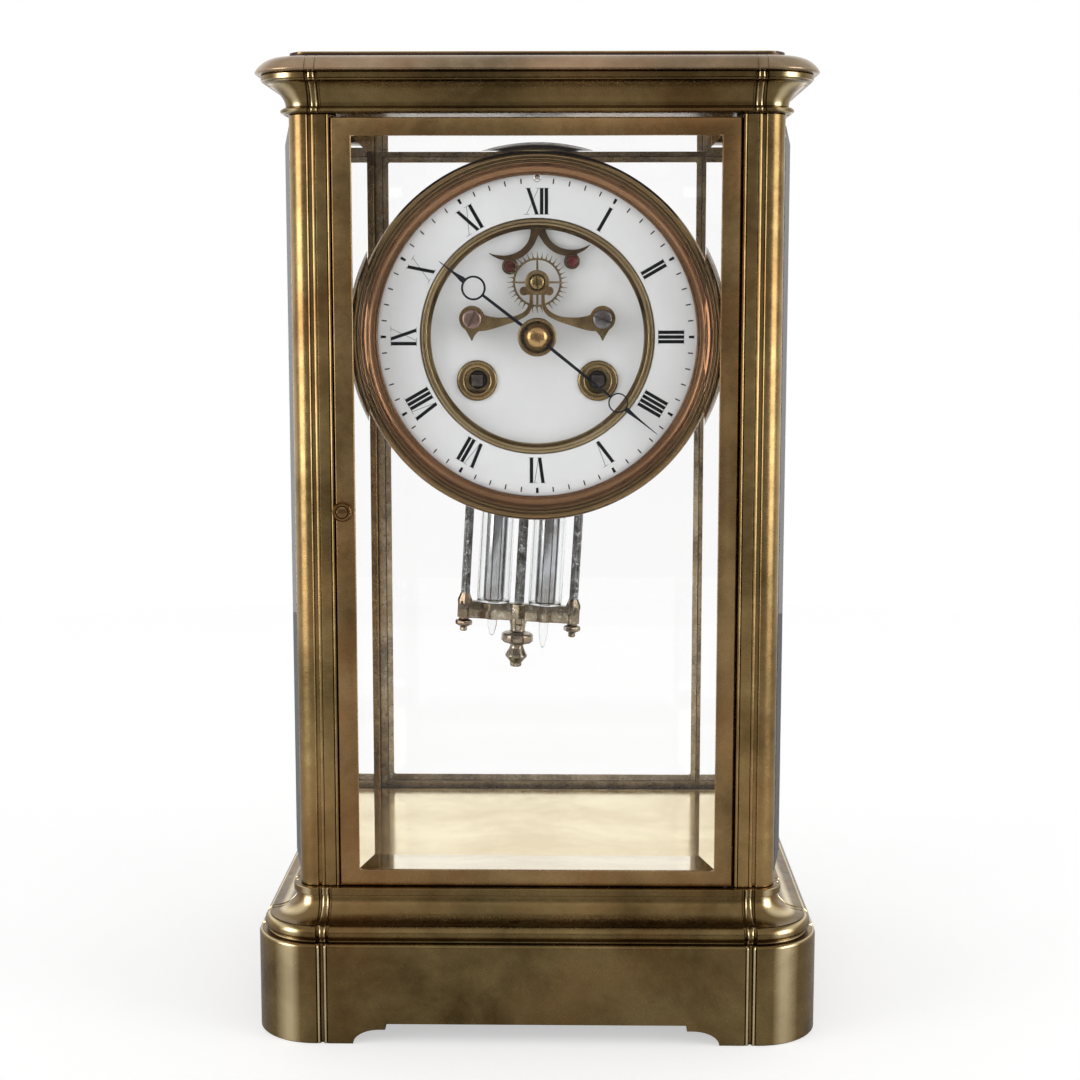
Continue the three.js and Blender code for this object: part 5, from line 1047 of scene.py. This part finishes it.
def build_bridge():
    head_at = on_dial(0, ESCAPE_RISE)
    shapes = [circle(4.2, 56, 0, ESCAPE_RISE), circle(1.55, 32, -4.6, 16), circle(1.55, 32, 4.2, 16),
              soften([(-4.3, 16.6), (-4.3, 14.7), (3.9, 14.7), (3.9, 16.6)], 0.7, 4)]
    wing = [(2, 17.5, 0.62), (2.05, 13.5, 0.62), (2.35, 10.9, 0.72), (4, 8.3, 0.85), (7.6, 6.4, 0.95),
            (11.5, 5.5, 1.35), (15, 5, 1.95), (18.6, 4.9, 2.8), (21.4, 5.6, 3.6), (22.8, 6.4, 3.9)]
    spur = [(19, 3.2), (21, 1.6), (22.2, 0.2), (22.9, -1.7), (23.6, -0.2), (24.9, 2), (26.4, 4.4), (22.8, 7)]
    for side, _ in SIDES:
        shapes += [ribbon(sided(wing, side)), soften(sided(spur, side), 0.8, 4),
                   circle(4.5, 56, side * 22.9, 6.4)]
    outline, holes = united(shapes)
    body = plate(outline, -54.7, -53.5, holes, 0.16, 2, on_dial())
    feet = [rod(2.9, -53.6, -48.3, on_dial(side * BRIDGE_FOOT[0], BRIDGE_FOOT[1]), 40) for side, _ in SIDES]
    piece("bridge_cock", joined(body, *feet), "bronze", "case", ["escape_bridge"])
    collar = ring([(2.85, -54.6), (2.85, -55.1), (3.3, -55.35), (4, -55.25), (4.3, -54.95), (4.3, -54.6)],
                  head_at, 64, 0.2)
    piece("bridge_head_collar", collar, "bronze", "case")
    button = lathe([(0, -56.1), (1.4, -56.05), (2.2, -55.8), (2.65, -55.35), (2.75, -54.8), (2.5, -54.6),
                    (0, -54.6)], head_at, 64)
    piece("bridge_button", slotted(button, head_at, 4, 0.3, -57, -55.3, 84), "eyelet_brass", "case")
    for (side, name), look, turn in zip(SIDES, ("pink_steel", "steel"), (-63, 22)):
        at = on_dial(side * BRIDGE_FOOT[0], BRIDGE_FOOT[1])
        head = lathe([(0, -55.8), (2.6, -55.8), (3.15, -55.6), (3.4, -55.3), (3.4, -54.6), (1.3, -54.6),
                      (1.3, -48.3), (0, -48.3)], at, 64)
        piece(f"bridge_screw_head_{name}", slotted(head, at, 5, 0.34, -57, -55.1, turn), look, "case",
              [f"bridge_screw_{name}"])


def build_anchor():
    pivot = from_pivot()
    z = pivot[1]
    front, back = -50.6, -49.6
    shapes, seats, collars = [circle(2.6, 40, 0, 0.4)], [], []
    arm = [(0, 1, 2), (0.7, -1.8, 1.8), (1.6, -4.6, 1.35), (3.2, -7.6, 1.2), (5.8, -10, 1.2),
           (8.8, -11.3, 1.15), (12.2, -11.5, 0.85), (15.4, -10.7, 0.5), (17.8, -9.4, 0.1)]
    neck = [(8.9, -10.9), (12.9, -11.2), (13, -14), (8.7, -14)]
    for side, _ in SIDES:
        shapes += [ribbon(sided(arm, side), 8), circle(2.75, 48, side * STONE_X, -14.5),
                   soften(sided(neck, side), 0.6)]
        seats.append(circle(2, 40, side * STONE_X, -STONE_DROP))
        collars.append(ring([(2, front + 0.1), (2, front - 0.3), (2.4, front - 0.45), (2.75, front - 0.2),
                             (2.8, front + 0.1)], from_pivot(side * STONE_X, STONE_DROP), 48, 0.12))
    outline, holes = united(shapes, seats)
    body = plate(outline, front, back, holes, 0.12, 2, pivot)
    arbor = lathe([(0, -50.9), (0.7, -50.9), (1, -50.6), (1, 17.8), (0, 17.8)], pivot, 32)
    fork = [block((-1.5, 14.8, z - 24), (1.5, 17.7, z + 2), 0.4),
            block((-3.7, 14.8, z - 24), (3.7, 17.7, z - 21), 0.4)]
    fork += [block((side * 2.25, 14.8, z - 24), (side * 3.65, 21.9, z - 21), 0.35) for side, _ in SIDES]
    whole = joined(body, *collars, arbor, turned(joined(*fork), 8.1, *pivot))
    piece("anchor_forged", turned(whole, ANCHOR_TURN, *pivot), "anchor_bronze", "anchor", ["anchor"])
    for side, name in SIDES:
        jewel = lathe([(0, -51.1), (1.1, -51.05), (1.7, -50.85), (1.95, -50.5), (1.95, -49.65), (0, -49.6)],
                      from_pivot(side * STONE_X, STONE_DROP))
        piece(f"jewel_{name}", turned(jewel, ANCHOR_TURN, *pivot), "ruby", "anchor", [f"pallet_stone_{name}"],
              50)


# Movement ------------------------------------------------------------------------------------------------

PLATE_HOLES = ((0, 0, 1.3), (*WINDING, 3.1), (-WINDING[0], WINDING[1], 3.1), (0.454, -13.993, 0.7),
               (8.491, 10.184, 0.7), (0, ESCAPE_RISE, 0.7), (0, PIVOT_RISE, 1.1), (*HAMMER, 1.3))
PLATE_LOOK = ("movement_brass", "case")


def build_plates():
    holes = [circle(r, 32, x, y) for x, y, r in PLATE_HOLES]
    disc = circle(46, 160)
    stud = lathe([(0, -46.4), (0.8, -46.4), (1, -46.1), (1, -40), (0, -40)], on_dial(*MINUTE_STUD), 24)
    front = joined(plate(disc, -41, -38.5, holes, 0.3, 2, on_dial()), stud)
    piece("front_plate_disc", front, *PLATE_LOOK, ["front_plate"])
    back = [plate(disc, -5.5, -3, holes, 0.3, 2, on_dial())]
    for angle in (40, 140, 250, 290):
        at = around_dial(41, angle)
        back.append(lathe([(0, -38.2), (3.2, -38.2), (3.2, -37), (2.3, -36.4), (2.1, -30), (2.5, -22),
                           (2.1, -14), (2.3, -7.6), (3.2, -7), (3.2, -5), (0, -5)], at))
        screw = lathe([(0, -1.6), (2.3, -1.65), (2.8, -1.9), (3, -2.4), (3, -3.1), (0, -3.1)], at)
        back.append(slotted(screw, at, 4, 0.3, -2.3, 0, angle * 1.7))
    piece("back_plate_disc", joined(*back), *PLATE_LOOK, ["back_plate"])


def build_brackets():
    z = sizes()["dial_height"]
    for side, name in SIDES:
        parts = [block((side * inner, face, z - 7), (side * 77.7, -41.3, z + 7), 0.5)
                 for inner, face in ((36, -43.5), (75.2, -60.7))]
        parts += [lathe([(0, -44.9), (1.8, -44.9), (2.1, -44.6), (2.2, -43.4), (0, -43.4)],
                        on_dial(side * 40.5, rise), 32) for rise in (-3.6, 3.6)]
        piece(f"bracket_{name}", joined(*parts), *PLATE_LOOK, [f"movement_bracket_{name}"])


def build_barrels():
    for side, name in ((-1, "strike"), (1, "going")):
        x, z = winding(side)
        drum = soften([(17.31, -36.95), (17.46, -36.6), (17.46, -35.6), (17.36, -35.4), (17.36, -21.4),
                       (17.46, -21.2), (17.46, -20.2), (17.31, -19.85)], 0.1, 2, False)
        band = lathe([(16.2, -37.05), (16.5, -37.2), (16.9, -37.1), (17.2, -36.9), *drum, (17.3, -20.4),
                      (17.2, -36.4), (16.2, -36.9), (16.2, -37.05)], (x, z), 160)
        piece(f"{name}_drum_band", band, "movement_brass", f"{name}_barrel")
        square = block((x - 2, -49, z - 2), (x + 2, -40.6, z + 2), 0.28)
        shaft = lathe([(0, -41), (2.7, -41), (3, -40.6), (3, -3.2), (2.7, -3), (0, -3)], (x, z))
        piece(f"{name}_square", joined(square, shaft), "dark_steel", f"{name}_winding",
              [f"{name}_winding_arbor"])
    dress("movement_brass", "going_barrel", "strike_barrel", "intermediate_wheel", "centre_wheel",
          "third_wheel")


def build_regulator():
    at = on_dial(0, REGULATOR_RISE)
    tip = lathe([(0, -53), (0.9, -53), (1.2, -52.8), (1.2, -50.2), (0, -50.2)], at)
    arbor = lathe([(0, -51.2), (1, -51.2), (1.2, -51), (1.2, 1.2), (1, 1.4), (0, 1.4)], at, 32)
    piece("regulator_rod", joined(tip, arbor), "polished", "regulator", ["regulator_arbor"])


def build_cock():
    z = sizes()["pivot_height"]
    foot = cut(block((-10, -2.7, z - 8), (10, -0.3, z + 18), 0.5),
               [rod(radius, -4, 2, from_pivot(0, drop), 32) for drop, radius in ((0, 1.1), (-15, 1.3))])
    parts = [foot, block((-10, 17, z + 1.1), (10, 23, z + 18), 0.5)]
    for side, _ in SIDES:
        parts += [block((side * 7, -2.6, z + 4.1), (side * 10, 23, z + 18), 0.5),
                  lathe([(0, 0.9), (1.6, 0.85), (2, 0.5), (2, -0.4), (0, -0.4)],
                        from_pivot(side * 6.6, 4.5), 32),
                  lathe([(0, 23.6), (1, 23.55), (1.2, 23.3), (1.2, 22.9), (0, 22.9)],
                        from_pivot(side * 7.6, -11), 32)]
    piece("cock_casting", joined(*parts), *PLATE_LOOK, ["pendulum_cock"])


def build_bell():
    middle = on_dial(0, 5)
    cup = lathe([(26.6, 35.9), (27.6, 35.75), (28.2, 36), (28.25, 36.8), *arc(0, 36, 28, 6, 90, 14, 14),
                 *arc(0, 36, 26.5, 90, 0, 15, 12.5), (26.6, 35.9)], middle, 160)
    stem = lathe([(0, 32.7), (2.5, 32.7), (2.5, 47.9), (3.6, 48.3), (3.8, 49), (3.6, 49.9), (2, 50), (0, 50)],
                 middle)
    arm = plate(ribbon([(0, 5, 2.6), (15, 7.9, 2.2), (30, 12, 3)]), 32.7, 35.7, (), 0.4, 2, on_dial())
    pillar = lathe([(0, -2.7), (3.2, -2.7), (3.2, -1.6), (2.4, -1), (2.3, 31.5), (3.1, 32.4), (3.1, 35.9),
                    (2.4, 36.6), (0, 36.6)], on_dial(30, 12))
    piece("bell_cup", joined(cup, stem, arm, pillar), "bell_metal", "case", ["bell"], 40)


def build_hammer():
    x, z = on_dial(*HAMMER)
    head_at = (x + 0.6, z - 12)
    arbor = lathe([(0, -41), (1, -41), (1.2, -40.7), (1.2, 43.3), (1, 43.5), (0, 43.5)], (x, z), 32)
    arm = plate(ribbon([(x, z, 1.5), (x + 0.2, z - 6, 0.8), (*head_at, 1.1)]), 39.75, 41.25, (), 0.2, 2)
    head = lathe([(0, 37.5), (2.2, 37.5), (2.6, 37.9), (2.6, 43), (2.2, 43.5), (0, 43.5)], head_at)
    piece("hammer_forged", joined(arbor, arm, head), "steel", "hammer", ["hammer"])


# Pendulum ------------------------------------------------------------------------------------------------

def upright(profile, x, sides=96, **extra):
    """Turns (radius, height) points about an upright axis in the pendulum's plane."""
    return lathe(profile, (x, sizes()["pendulum_plane"]), sides, "Z", **extra)


def cross_bar(level):
    """A cross bar with bosses round rod and vials and an octagonal collar at each end."""
    shapes = [soften(rectangle(-SIDE_ROD_X, -2, SIDE_ROD_X, 2), 0.4), circle(3.4, 8)]
    for side, _ in SIDES:
        shapes += [circle(3.3, 10, side * VIAL_X, 0), arc(side * SIDE_ROD_X, 0, 2.9, 22.5, 337.5, 7)]
    bar = plate(united(shapes)[0], -3.4, 3.4, (), 0.35, 2)
    bar.transform(Matrix.Translation((0, sizes()["pendulum_plane"] * MM, level * MM))
                  @ Matrix.Rotation(math.pi / 2, 4, "X"))
    return bar


def hang(name, meshes, look, nodes=(), sharp=50):
    """Adds a pendulum piece, swung from upright to its place at rest."""
    piece(name, turned(joined(*meshes), PENDULUM_TURN, *from_pivot()), look, "pendulum", nodes, sharp)


def build_pendulum_rods():
    z, y = sizes()["pivot_height"], sizes()["pendulum_plane"]
    middle = upright([(0, z - 146.5), (1.9, z - 146.5), (1.9, z - 60), (1.9, z - 12), (1.9, z - 7.2),
                      (1.5, z - 7), (0, z - 7)], 0, flutes=12, flute_depth=0.28)
    spring = block((-2.5, y - 0.2, z - 8.75), (2.5, y + 0.2, z + 0.8))
    clamp = block((-2.5, y - 1.9, z - 12), (2.5, y + 1.9, z - 7), 0.4)
    hang("pendulum_rod_reeded", [middle, spring, clamp], "rod_metal", ["pendulum_rod"])
    reeds = [upright([(0, z - 150), (1.75, z - 150), (1.75, z - TOP_BAR), (0, z - TOP_BAR)],
                     side * SIDE_ROD_X, 80, flutes=8, flute_depth=0.35) for side, _ in SIDES]
    hang("pendulum_side_rods", reeds, "rod_metal")


def build_gridiron():
    z = sizes()["pivot_height"]
    parts = []
    for drop, radius, places in ((TOP_BAR, 2.2, (0,)), (LOW_BAR, 2.3, (-VIAL_X, VIAL_X))):
        level = z - drop
        holes = [upright([(0, level - 6), (radius, level - 6), (radius, level + 6), (0, level + 6)], x, 32)
                 for x in places]
        parts.append(cut(cross_bar(level), holes))
    top, under = z - LOW_BAR + 3.3, z - LOW_BAR - 3.5
    finial = soften([(0, 18.5), (2, 18.45), (2.3, 18.1), (2.35, 16.9), (2.6, 16.5), (4.3, 14.5), (4.4, 13.9),
                     (4.2, 13.5), (2.8, 10.8), (2.6, 9.9), (2.8, 9.3), (5.7, 8.7), (6.3, 8.1), (6.3, 5.6),
                     (5.8, 4.9), (3.3, 4.3), (2.9, 3.6), (3.1, 1.6), (3.4, 0.8), (3.4, -1)], 0.35, 3, False)
    small = smooth_line([(0, 5.5), (1, 5.4), (1.5, 4.9), (1.4, 4), (2, 3.3), (3.1, 2.9), (3.35, 2.1),
                         (3.2, 1.1), (2.2, 0.6), (1.9, 0), (1.9, -1.5)], 3)
    parts.append(upright([(max(r, 0), under - drop) for r, drop in finial] + [(0, under + 1)], 0, 12))
    for side, _ in SIDES:
        parts += [upright([(0, top - 1), (2.85, top - 1), (2.85, top + 0.5), (2, top + 2.6), (1.9, top + 3.1),
                           (0, top + 3.1)], side * SIDE_ROD_X, 8),
                  upright([(max(r, 0), under - drop) for r, drop in small] + [(0, under + 1.5)],
                          side * SIDE_ROD_X, 8)]
    hang("pendulum_gridiron", parts, "frame_metal", ["pendulum_frame"], 35)


def build_vials():
    z = sizes()["pivot_height"]
    low, high = z - LOW_BAR + 3.45, z - TOP_BAR - 3.45
    end = low - 6.6
    wall = soften([(0, low + 0.1), (6.3, low + 0.1), (6.6, low + 0.5), (6.6, high - 0.5), (6.3, high - 0.1),
                   (0, high - 0.1)], 0.3, 3, False)
    space = soften([(0, high - 0.9), (5.9, high - 0.9), (5.9, low + 0.9), (0, low + 0.9)], 0.3, 3, False)
    core = soften([(0, low + 1), (3.9, low + 1), (4.2, low + 1.4), (4.2, high - 7.4), (3.9, high - 7),
                   (0, high - 7)], 0.3, 3, False)
    for (side, name), tip in zip(SIDES, (9, 13.8)):
        x = side * VIAL_X
        nipple = smooth_line([(0, end + 6.4), (1.9, end + 6.4), (1.9, end - 1), (1.75, end - tip * 0.35),
                              (1.3, end - tip * 0.55), (0.8, end - tip * 0.72), (0, end - tip * 0.78)], 3)
        tube = [upright(wall, x), flipped(upright(space, x)),
                upright([(max(r, 0), along) for r, along in nipple], x, 48)]
        hang(f"vial_tube_{name}", tube, "vial_glass", [f"vial_{name}"])
        hang(f"vial_filling_{name}", [upright(core, x)], "mercury")


# Stage ---------------------------------------------------------------------------------------------------

LENS, PITCH, YAW = 63.41, 7.354, 0.890       # millimetres, degrees down, degrees to the left
LAMPS = (("lamp_left", (-1.32, -0.80, 0.50), 8.0), ("lamp_right", (1.36, -0.70, 0.50), 8.5))
FRONT_TO_BACK = ((0.0, 0.30), (0.09, 0.33), (0.20, 1.0), (0.40, 1.0), (0.50, 0.50), (0.72, 0.95), (1.0, 1.0))
OVERHEAD = ((0.5, 1.0), (0.62, 0.72))
EVEN_LIGHT, FLOOR_GLOW = 0.74, 0.50


def build_stage():
    s = sizes()
    scene = bpy.context.scene
    scene.view_settings.view_transform = "Standard"
    camera = linked("camera", bpy.data.cameras.new("camera"))
    camera.data.sensor_width = 36
    camera.data.lens = LENS
    camera.location = (s["camera_x"] * MM, -s["camera_y"] * MM, s["camera_z"] * MM)
    camera.rotation_euler = (math.radians(90 - PITCH), 0, math.radians(YAW))
    scene.camera = camera
    for name, place, energy in LAMPS:
        lamp = linked(name, bpy.data.lights.new(name, "AREA"))
        lamp.data.energy = energy
        lamp.data.shape = "RECTANGLE"
        lamp.data.size, lamp.data.size_y = 0.8, 1.1
        lamp.location = place
        aim = Vector((0, 0, place[2])) - Vector(place)
        lamp.rotation_euler = aim.to_track_quat("-Z", "Y").to_euler()
    build_world(scene)
    build_floor(s)


def greys(tree, value, stops, interpolation="LINEAR"):
    """Greys along a value, from (place, grey) stops."""
    made = node(tree, "ShaderNodeValToRGB", Fac=value)
    line = made.color_ramp
    line.interpolation = interpolation
    line.elements[0].position, line.elements[-1].position = stops[0][0], stops[-1][0]
    for at, _ in stops[1:-1]:
        line.elements.new(at)
    for element, (_, grey) in zip(line.elements, stops):
        element.color = (grey, grey, grey, 1)
    return made.outputs["Color"]


def build_world(scene):
    """White to the eye and through glass, an even soft light, and a studio's darker front in reflections."""
    scene.world = bpy.data.worlds.new("studio")
    scene.world.use_nodes = True
    tree = scene.world.node_tree
    path = node(tree, "ShaderNodeLightPath")
    place = node(tree, "ShaderNodeTexCoord").outputs["Generated"]
    parts = node(tree, "ShaderNodeSeparateXYZ", Vector=place).outputs
    around = greys(tree, ranged(tree, parts["Y"], -1, 1, 0, 1), FRONT_TO_BACK, "EASE")
    above = ranged(tree, parts["Z"], 0.25, 0.42, 0, 1)
    studio = mixed(tree, above, around, greys(tree, parts["Z"], OVERHEAD))
    reflected = ranged(tree, path.outputs["Glossy Depth"], 0, 1, 0, 1)
    lit = mixed(tree, reflected, (EVEN_LIGHT, EVEN_LIGHT, EVEN_LIGHT, 1), studio)
    direct = maths(tree, "SUBTRACT", straight_rays(tree, path), reflected, use_clamp=True)
    feed(tree, tree.nodes["Background"], Color=mixed(tree, direct, lit, (1, 1, 1, 1)))


def build_floor(s):
    """A pale round floor that keeps the clock's shadow and glows nearly white for camera rays and rays through
    glass.
    """
    radius = s["floor_size"]
    floor = linked("floor", lathe([(radius, -4.0), (radius, -0.05), (0, -0.05)], (0, 0), 96, "Z"))
    made, tree, shader = new_material("floor")
    feed(tree, shader, Base_Color=(*base_colour("stage"), 1), Roughness=0.8)
    straight = straight_rays(tree, node(tree, "ShaderNodeLightPath"))
    glow = node(tree, "ShaderNodeEmission", Strength=ranged(tree, straight, 0, 1, 0, FLOOR_GLOW))
    layered(tree, "ShaderNodeAddShader", shader, glow)
    floor.data.materials.append(made)


# Add-on --------------------------------------------------------------------------------------------------

class CLOCK_OT_stage(bpy.types.Operator):
    """Adds the camera, the lamps, the studio light and the pale floor"""
    bl_idname = "clock.stage"
    bl_label = "Stage"

    def execute(self, context):
        build_stage()
        return {"FINISHED"}


class CLOCK_OT_plinth(bpy.types.Operator):
    """Builds the hollow plinth with its feet"""
    bl_idname = "clock.plinth"
    bl_label = "Plinth"

    def execute(self, context):
        build_plinth()
        return {"FINISHED"}


class CLOCK_OT_base_moulding(bpy.types.Operator):
    """Builds the base moulding with its glass rails and polishes the floor plate"""
    bl_idname = "clock.base_moulding"
    bl_label = "Base moulding"

    def execute(self, context):
        build_base()
        return {"FINISHED"}


class CLOCK_OT_posts(bpy.types.Operator):
    """Builds the four corner posts"""
    bl_idname = "clock.posts"
    bl_label = "Posts"

    def execute(self, context):
        build_posts()
        return {"FINISHED"}


class CLOCK_OT_cornice(bpy.types.Operator):
    """Builds the cornice with its glass rails"""
    bl_idname = "clock.cornice"
    bl_label = "Cornice"

    def execute(self, context):
        build_cornice()
        return {"FINISHED"}


class CLOCK_OT_cap(bpy.types.Operator):
    """Builds the cap moulding"""
    bl_idname = "clock.cap"
    bl_label = "Cap"

    def execute(self, context):
        build_cap()
        return {"FINISHED"}


class CLOCK_OT_top_panel(bpy.types.Operator):
    """Builds the dark top panel with its bright edge"""
    bl_idname = "clock.top_panel"
    bl_label = "Top panel"

    def execute(self, context):
        build_top_panel()
        return {"FINISHED"}


class CLOCK_OT_door_frames(bpy.types.Operator):
    """Builds both doors' mitred frames and finishes their hinge pins"""
    bl_idname = "clock.door_frames"
    bl_label = "Door frames"

    def execute(self, context):
        build_door_frames()
        return {"FINISHED"}


class CLOCK_OT_catches(bpy.types.Operator):
    """Builds both doors' turn catches"""
    bl_idname = "clock.catches"
    bl_label = "Catches"

    def execute(self, context):
        build_catches()
        return {"FINISHED"}


class CLOCK_OT_glasses(bpy.types.Operator):
    """Builds the doors' bevelled glasses and finishes the side glasses"""
    bl_idname = "clock.glasses"
    bl_label = "Glasses"

    def execute(self, context):
        build_glasses()
        return {"FINISHED"}


class CLOCK_OT_bezel(bpy.types.Operator):
    """Builds the stepped bezel and its inner cove"""
    bl_idname = "clock.bezel"
    bl_label = "Bezel"

    def execute(self, context):
        build_bezel()
        return {"FINISHED"}


class CLOCK_OT_enamel(bpy.types.Operator):
    """Builds the chapter ring and the recessed centre"""
    bl_idname = "clock.enamel"
    bl_label = "Enamel"

    def execute(self, context):
        build_enamel()
        return {"FINISHED"}


class CLOCK_OT_dial_marks(bpy.types.Operator):
    """Builds the painted numerals and minute marks"""
    bl_idname = "clock.dial_marks"
    bl_label = "Dial marks"

    def execute(self, context):
        build_dial_marks()
        return {"FINISHED"}


class CLOCK_OT_sight_ring(bpy.types.Operator):
    """Builds the moulded ring round the dial's centre"""
    bl_idname = "clock.sight_ring"
    bl_label = "Sight ring"

    def execute(self, context):
        build_sight_ring()
        return {"FINISHED"}


class CLOCK_OT_eyelets(bpy.types.Operator):
    """Builds the rims of the two winding holes"""
    bl_idname = "clock.eyelets"
    bl_label = "Winding eyelets"

    def execute(self, context):
        build_eyelets()
        return {"FINISHED"}


class CLOCK_OT_hands(bpy.types.Operator):
    """Builds the two hands and finishes the wheels that carry them"""
    bl_idname = "clock.hands"
    bl_label = "Hands"

    def execute(self, context):
        build_hands()
        return {"FINISHED"}


class CLOCK_OT_hand_nut(bpy.types.Operator):
    """Builds the slotted nut that holds the hands"""
    bl_idname = "clock.hand_nut"
    bl_label = "Hand nut"

    def execute(self, context):
        build_hand_nut()
        return {"FINISHED"}


class CLOCK_OT_escape_wheel(bpy.types.Operator):
    """Builds the escape wheel with its arbor and pinion"""
    bl_idname = "clock.escape_wheel"
    bl_label = "Escape wheel"

    def execute(self, context):
        build_escape_wheel()
        return {"FINISHED"}


class CLOCK_OT_bridge(bpy.types.Operator):
    """Builds the escape wheel's bridge and its screws"""
    bl_idname = "clock.bridge"
    bl_label = "Escape bridge"

    def execute(self, context):
        build_bridge()
        return {"FINISHED"}


class CLOCK_OT_anchor(bpy.types.Operator):
    """Builds the anchor with its crutch and stones"""
    bl_idname = "clock.anchor"
    bl_label = "Anchor"

    def execute(self, context):
        build_anchor()
        return {"FINISHED"}


class CLOCK_OT_plates(bpy.types.Operator):
    """Builds the movement's plates and pillars"""
    bl_idname = "clock.plates"
    bl_label = "Plates"

    def execute(self, context):
        build_plates()
        return {"FINISHED"}


class CLOCK_OT_brackets(bpy.types.Operator):
    """Builds the brackets that hold the movement"""
    bl_idname = "clock.brackets"
    bl_label = "Brackets"

    def execute(self, context):
        build_brackets()
        return {"FINISHED"}


class CLOCK_OT_barrels(bpy.types.Operator):
    """Builds the barrels' bands and winding arbors and finishes the wheels"""
    bl_idname = "clock.barrels"
    bl_label = "Barrels"

    def execute(self, context):
        build_barrels()
        return {"FINISHED"}


class CLOCK_OT_regulator(bpy.types.Operator):
    """Builds the regulator's arbor"""
    bl_idname = "clock.regulator"
    bl_label = "Regulator"

    def execute(self, context):
        build_regulator()
        return {"FINISHED"}


class CLOCK_OT_cock(bpy.types.Operator):
    """Builds the cock that holds the pendulum"""
    bl_idname = "clock.cock"
    bl_label = "Pendulum cock"

    def execute(self, context):
        build_cock()
        return {"FINISHED"}


class CLOCK_OT_bell(bpy.types.Operator):
    """Builds the bell with its stand"""
    bl_idname = "clock.bell"
    bl_label = "Bell"

    def execute(self, context):
        build_bell()
        return {"FINISHED"}


class CLOCK_OT_hammer(bpy.types.Operator):
    """Builds the hammer with its arbor"""
    bl_idname = "clock.hammer"
    bl_label = "Hammer"

    def execute(self, context):
        build_hammer()
        return {"FINISHED"}


class CLOCK_OT_pendulum_rods(bpy.types.Operator):
    """Builds the pendulum's reeded rods and suspension"""
    bl_idname = "clock.pendulum_rods"
    bl_label = "Pendulum rods"

    def execute(self, context):
        build_pendulum_rods()
        return {"FINISHED"}


class CLOCK_OT_pendulum_frame(bpy.types.Operator):
    """Builds the pendulum's cross bars, collars and finials"""
    bl_idname = "clock.pendulum_frame"
    bl_label = "Pendulum frame"

    def execute(self, context):
        build_gridiron()
        return {"FINISHED"}


class CLOCK_OT_vials(bpy.types.Operator):
    """Builds the two glass vials and their filling"""
    bl_idname = "clock.vials"
    bl_label = "Vials"

    def execute(self, context):
        build_vials()
        return {"FINISHED"}


OPERATORS = (CLOCK_OT_stage, CLOCK_OT_plinth, CLOCK_OT_base_moulding, CLOCK_OT_posts, CLOCK_OT_cornice,
             CLOCK_OT_cap, CLOCK_OT_top_panel, CLOCK_OT_door_frames, CLOCK_OT_catches, CLOCK_OT_glasses,
             CLOCK_OT_bezel, CLOCK_OT_enamel, CLOCK_OT_dial_marks, CLOCK_OT_sight_ring, CLOCK_OT_eyelets,
             CLOCK_OT_hands, CLOCK_OT_hand_nut, CLOCK_OT_escape_wheel, CLOCK_OT_bridge, CLOCK_OT_anchor,
             CLOCK_OT_plates, CLOCK_OT_brackets, CLOCK_OT_barrels, CLOCK_OT_regulator, CLOCK_OT_cock,
             CLOCK_OT_bell, CLOCK_OT_hammer, CLOCK_OT_pendulum_rods, CLOCK_OT_pendulum_frame,
             CLOCK_OT_vials)


class CLOCK_PT_build(bpy.types.Panel):
    """The clock's sizes, colours and build steps"""
    bl_idname = "CLOCK_PT_build"
    bl_label = "Four glass clock"
    bl_space_type = "VIEW_3D"
    bl_region_type = "UI"
    bl_category = "Clock"

    def draw(self, context):
        for operator in OPERATORS:
            self.layout.operator(operator.bl_idname)
        for group, names in ((context.scene.clock_sizes, ClockSizes.__annotations__),
                             (context.scene.clock_colours, ClockColours.__annotations__)):
            box = self.layout.box()
            for name in names:
                box.prop(group, name)


CLASSES = (ClockSizes, ClockColours, *OPERATORS, CLOCK_PT_build)


def register():
    for item in CLASSES:
        bpy.utils.register_class(item)
    bpy.types.Scene.clock_sizes = bpy.props.PointerProperty(type=ClockSizes)
    bpy.types.Scene.clock_colours = bpy.props.PointerProperty(type=ClockColours)


def unregister():
    del bpy.types.Scene.clock_colours
    del bpy.types.Scene.clock_sizes
    for item in reversed(CLASSES):
        bpy.utils.unregister_class(item)


def main():
    register()
    for operator in OPERATORS:
        name = operator.bl_idname.split(".")[1]
        if getattr(bpy.ops.clock, name)() != {"FINISHED"}:
            raise RuntimeError(f"{operator.bl_idname} did not finish")


def plain(box):
    return [[float(c) for c in corner] for corner in box]


if __name__ == "__main__":
    main()
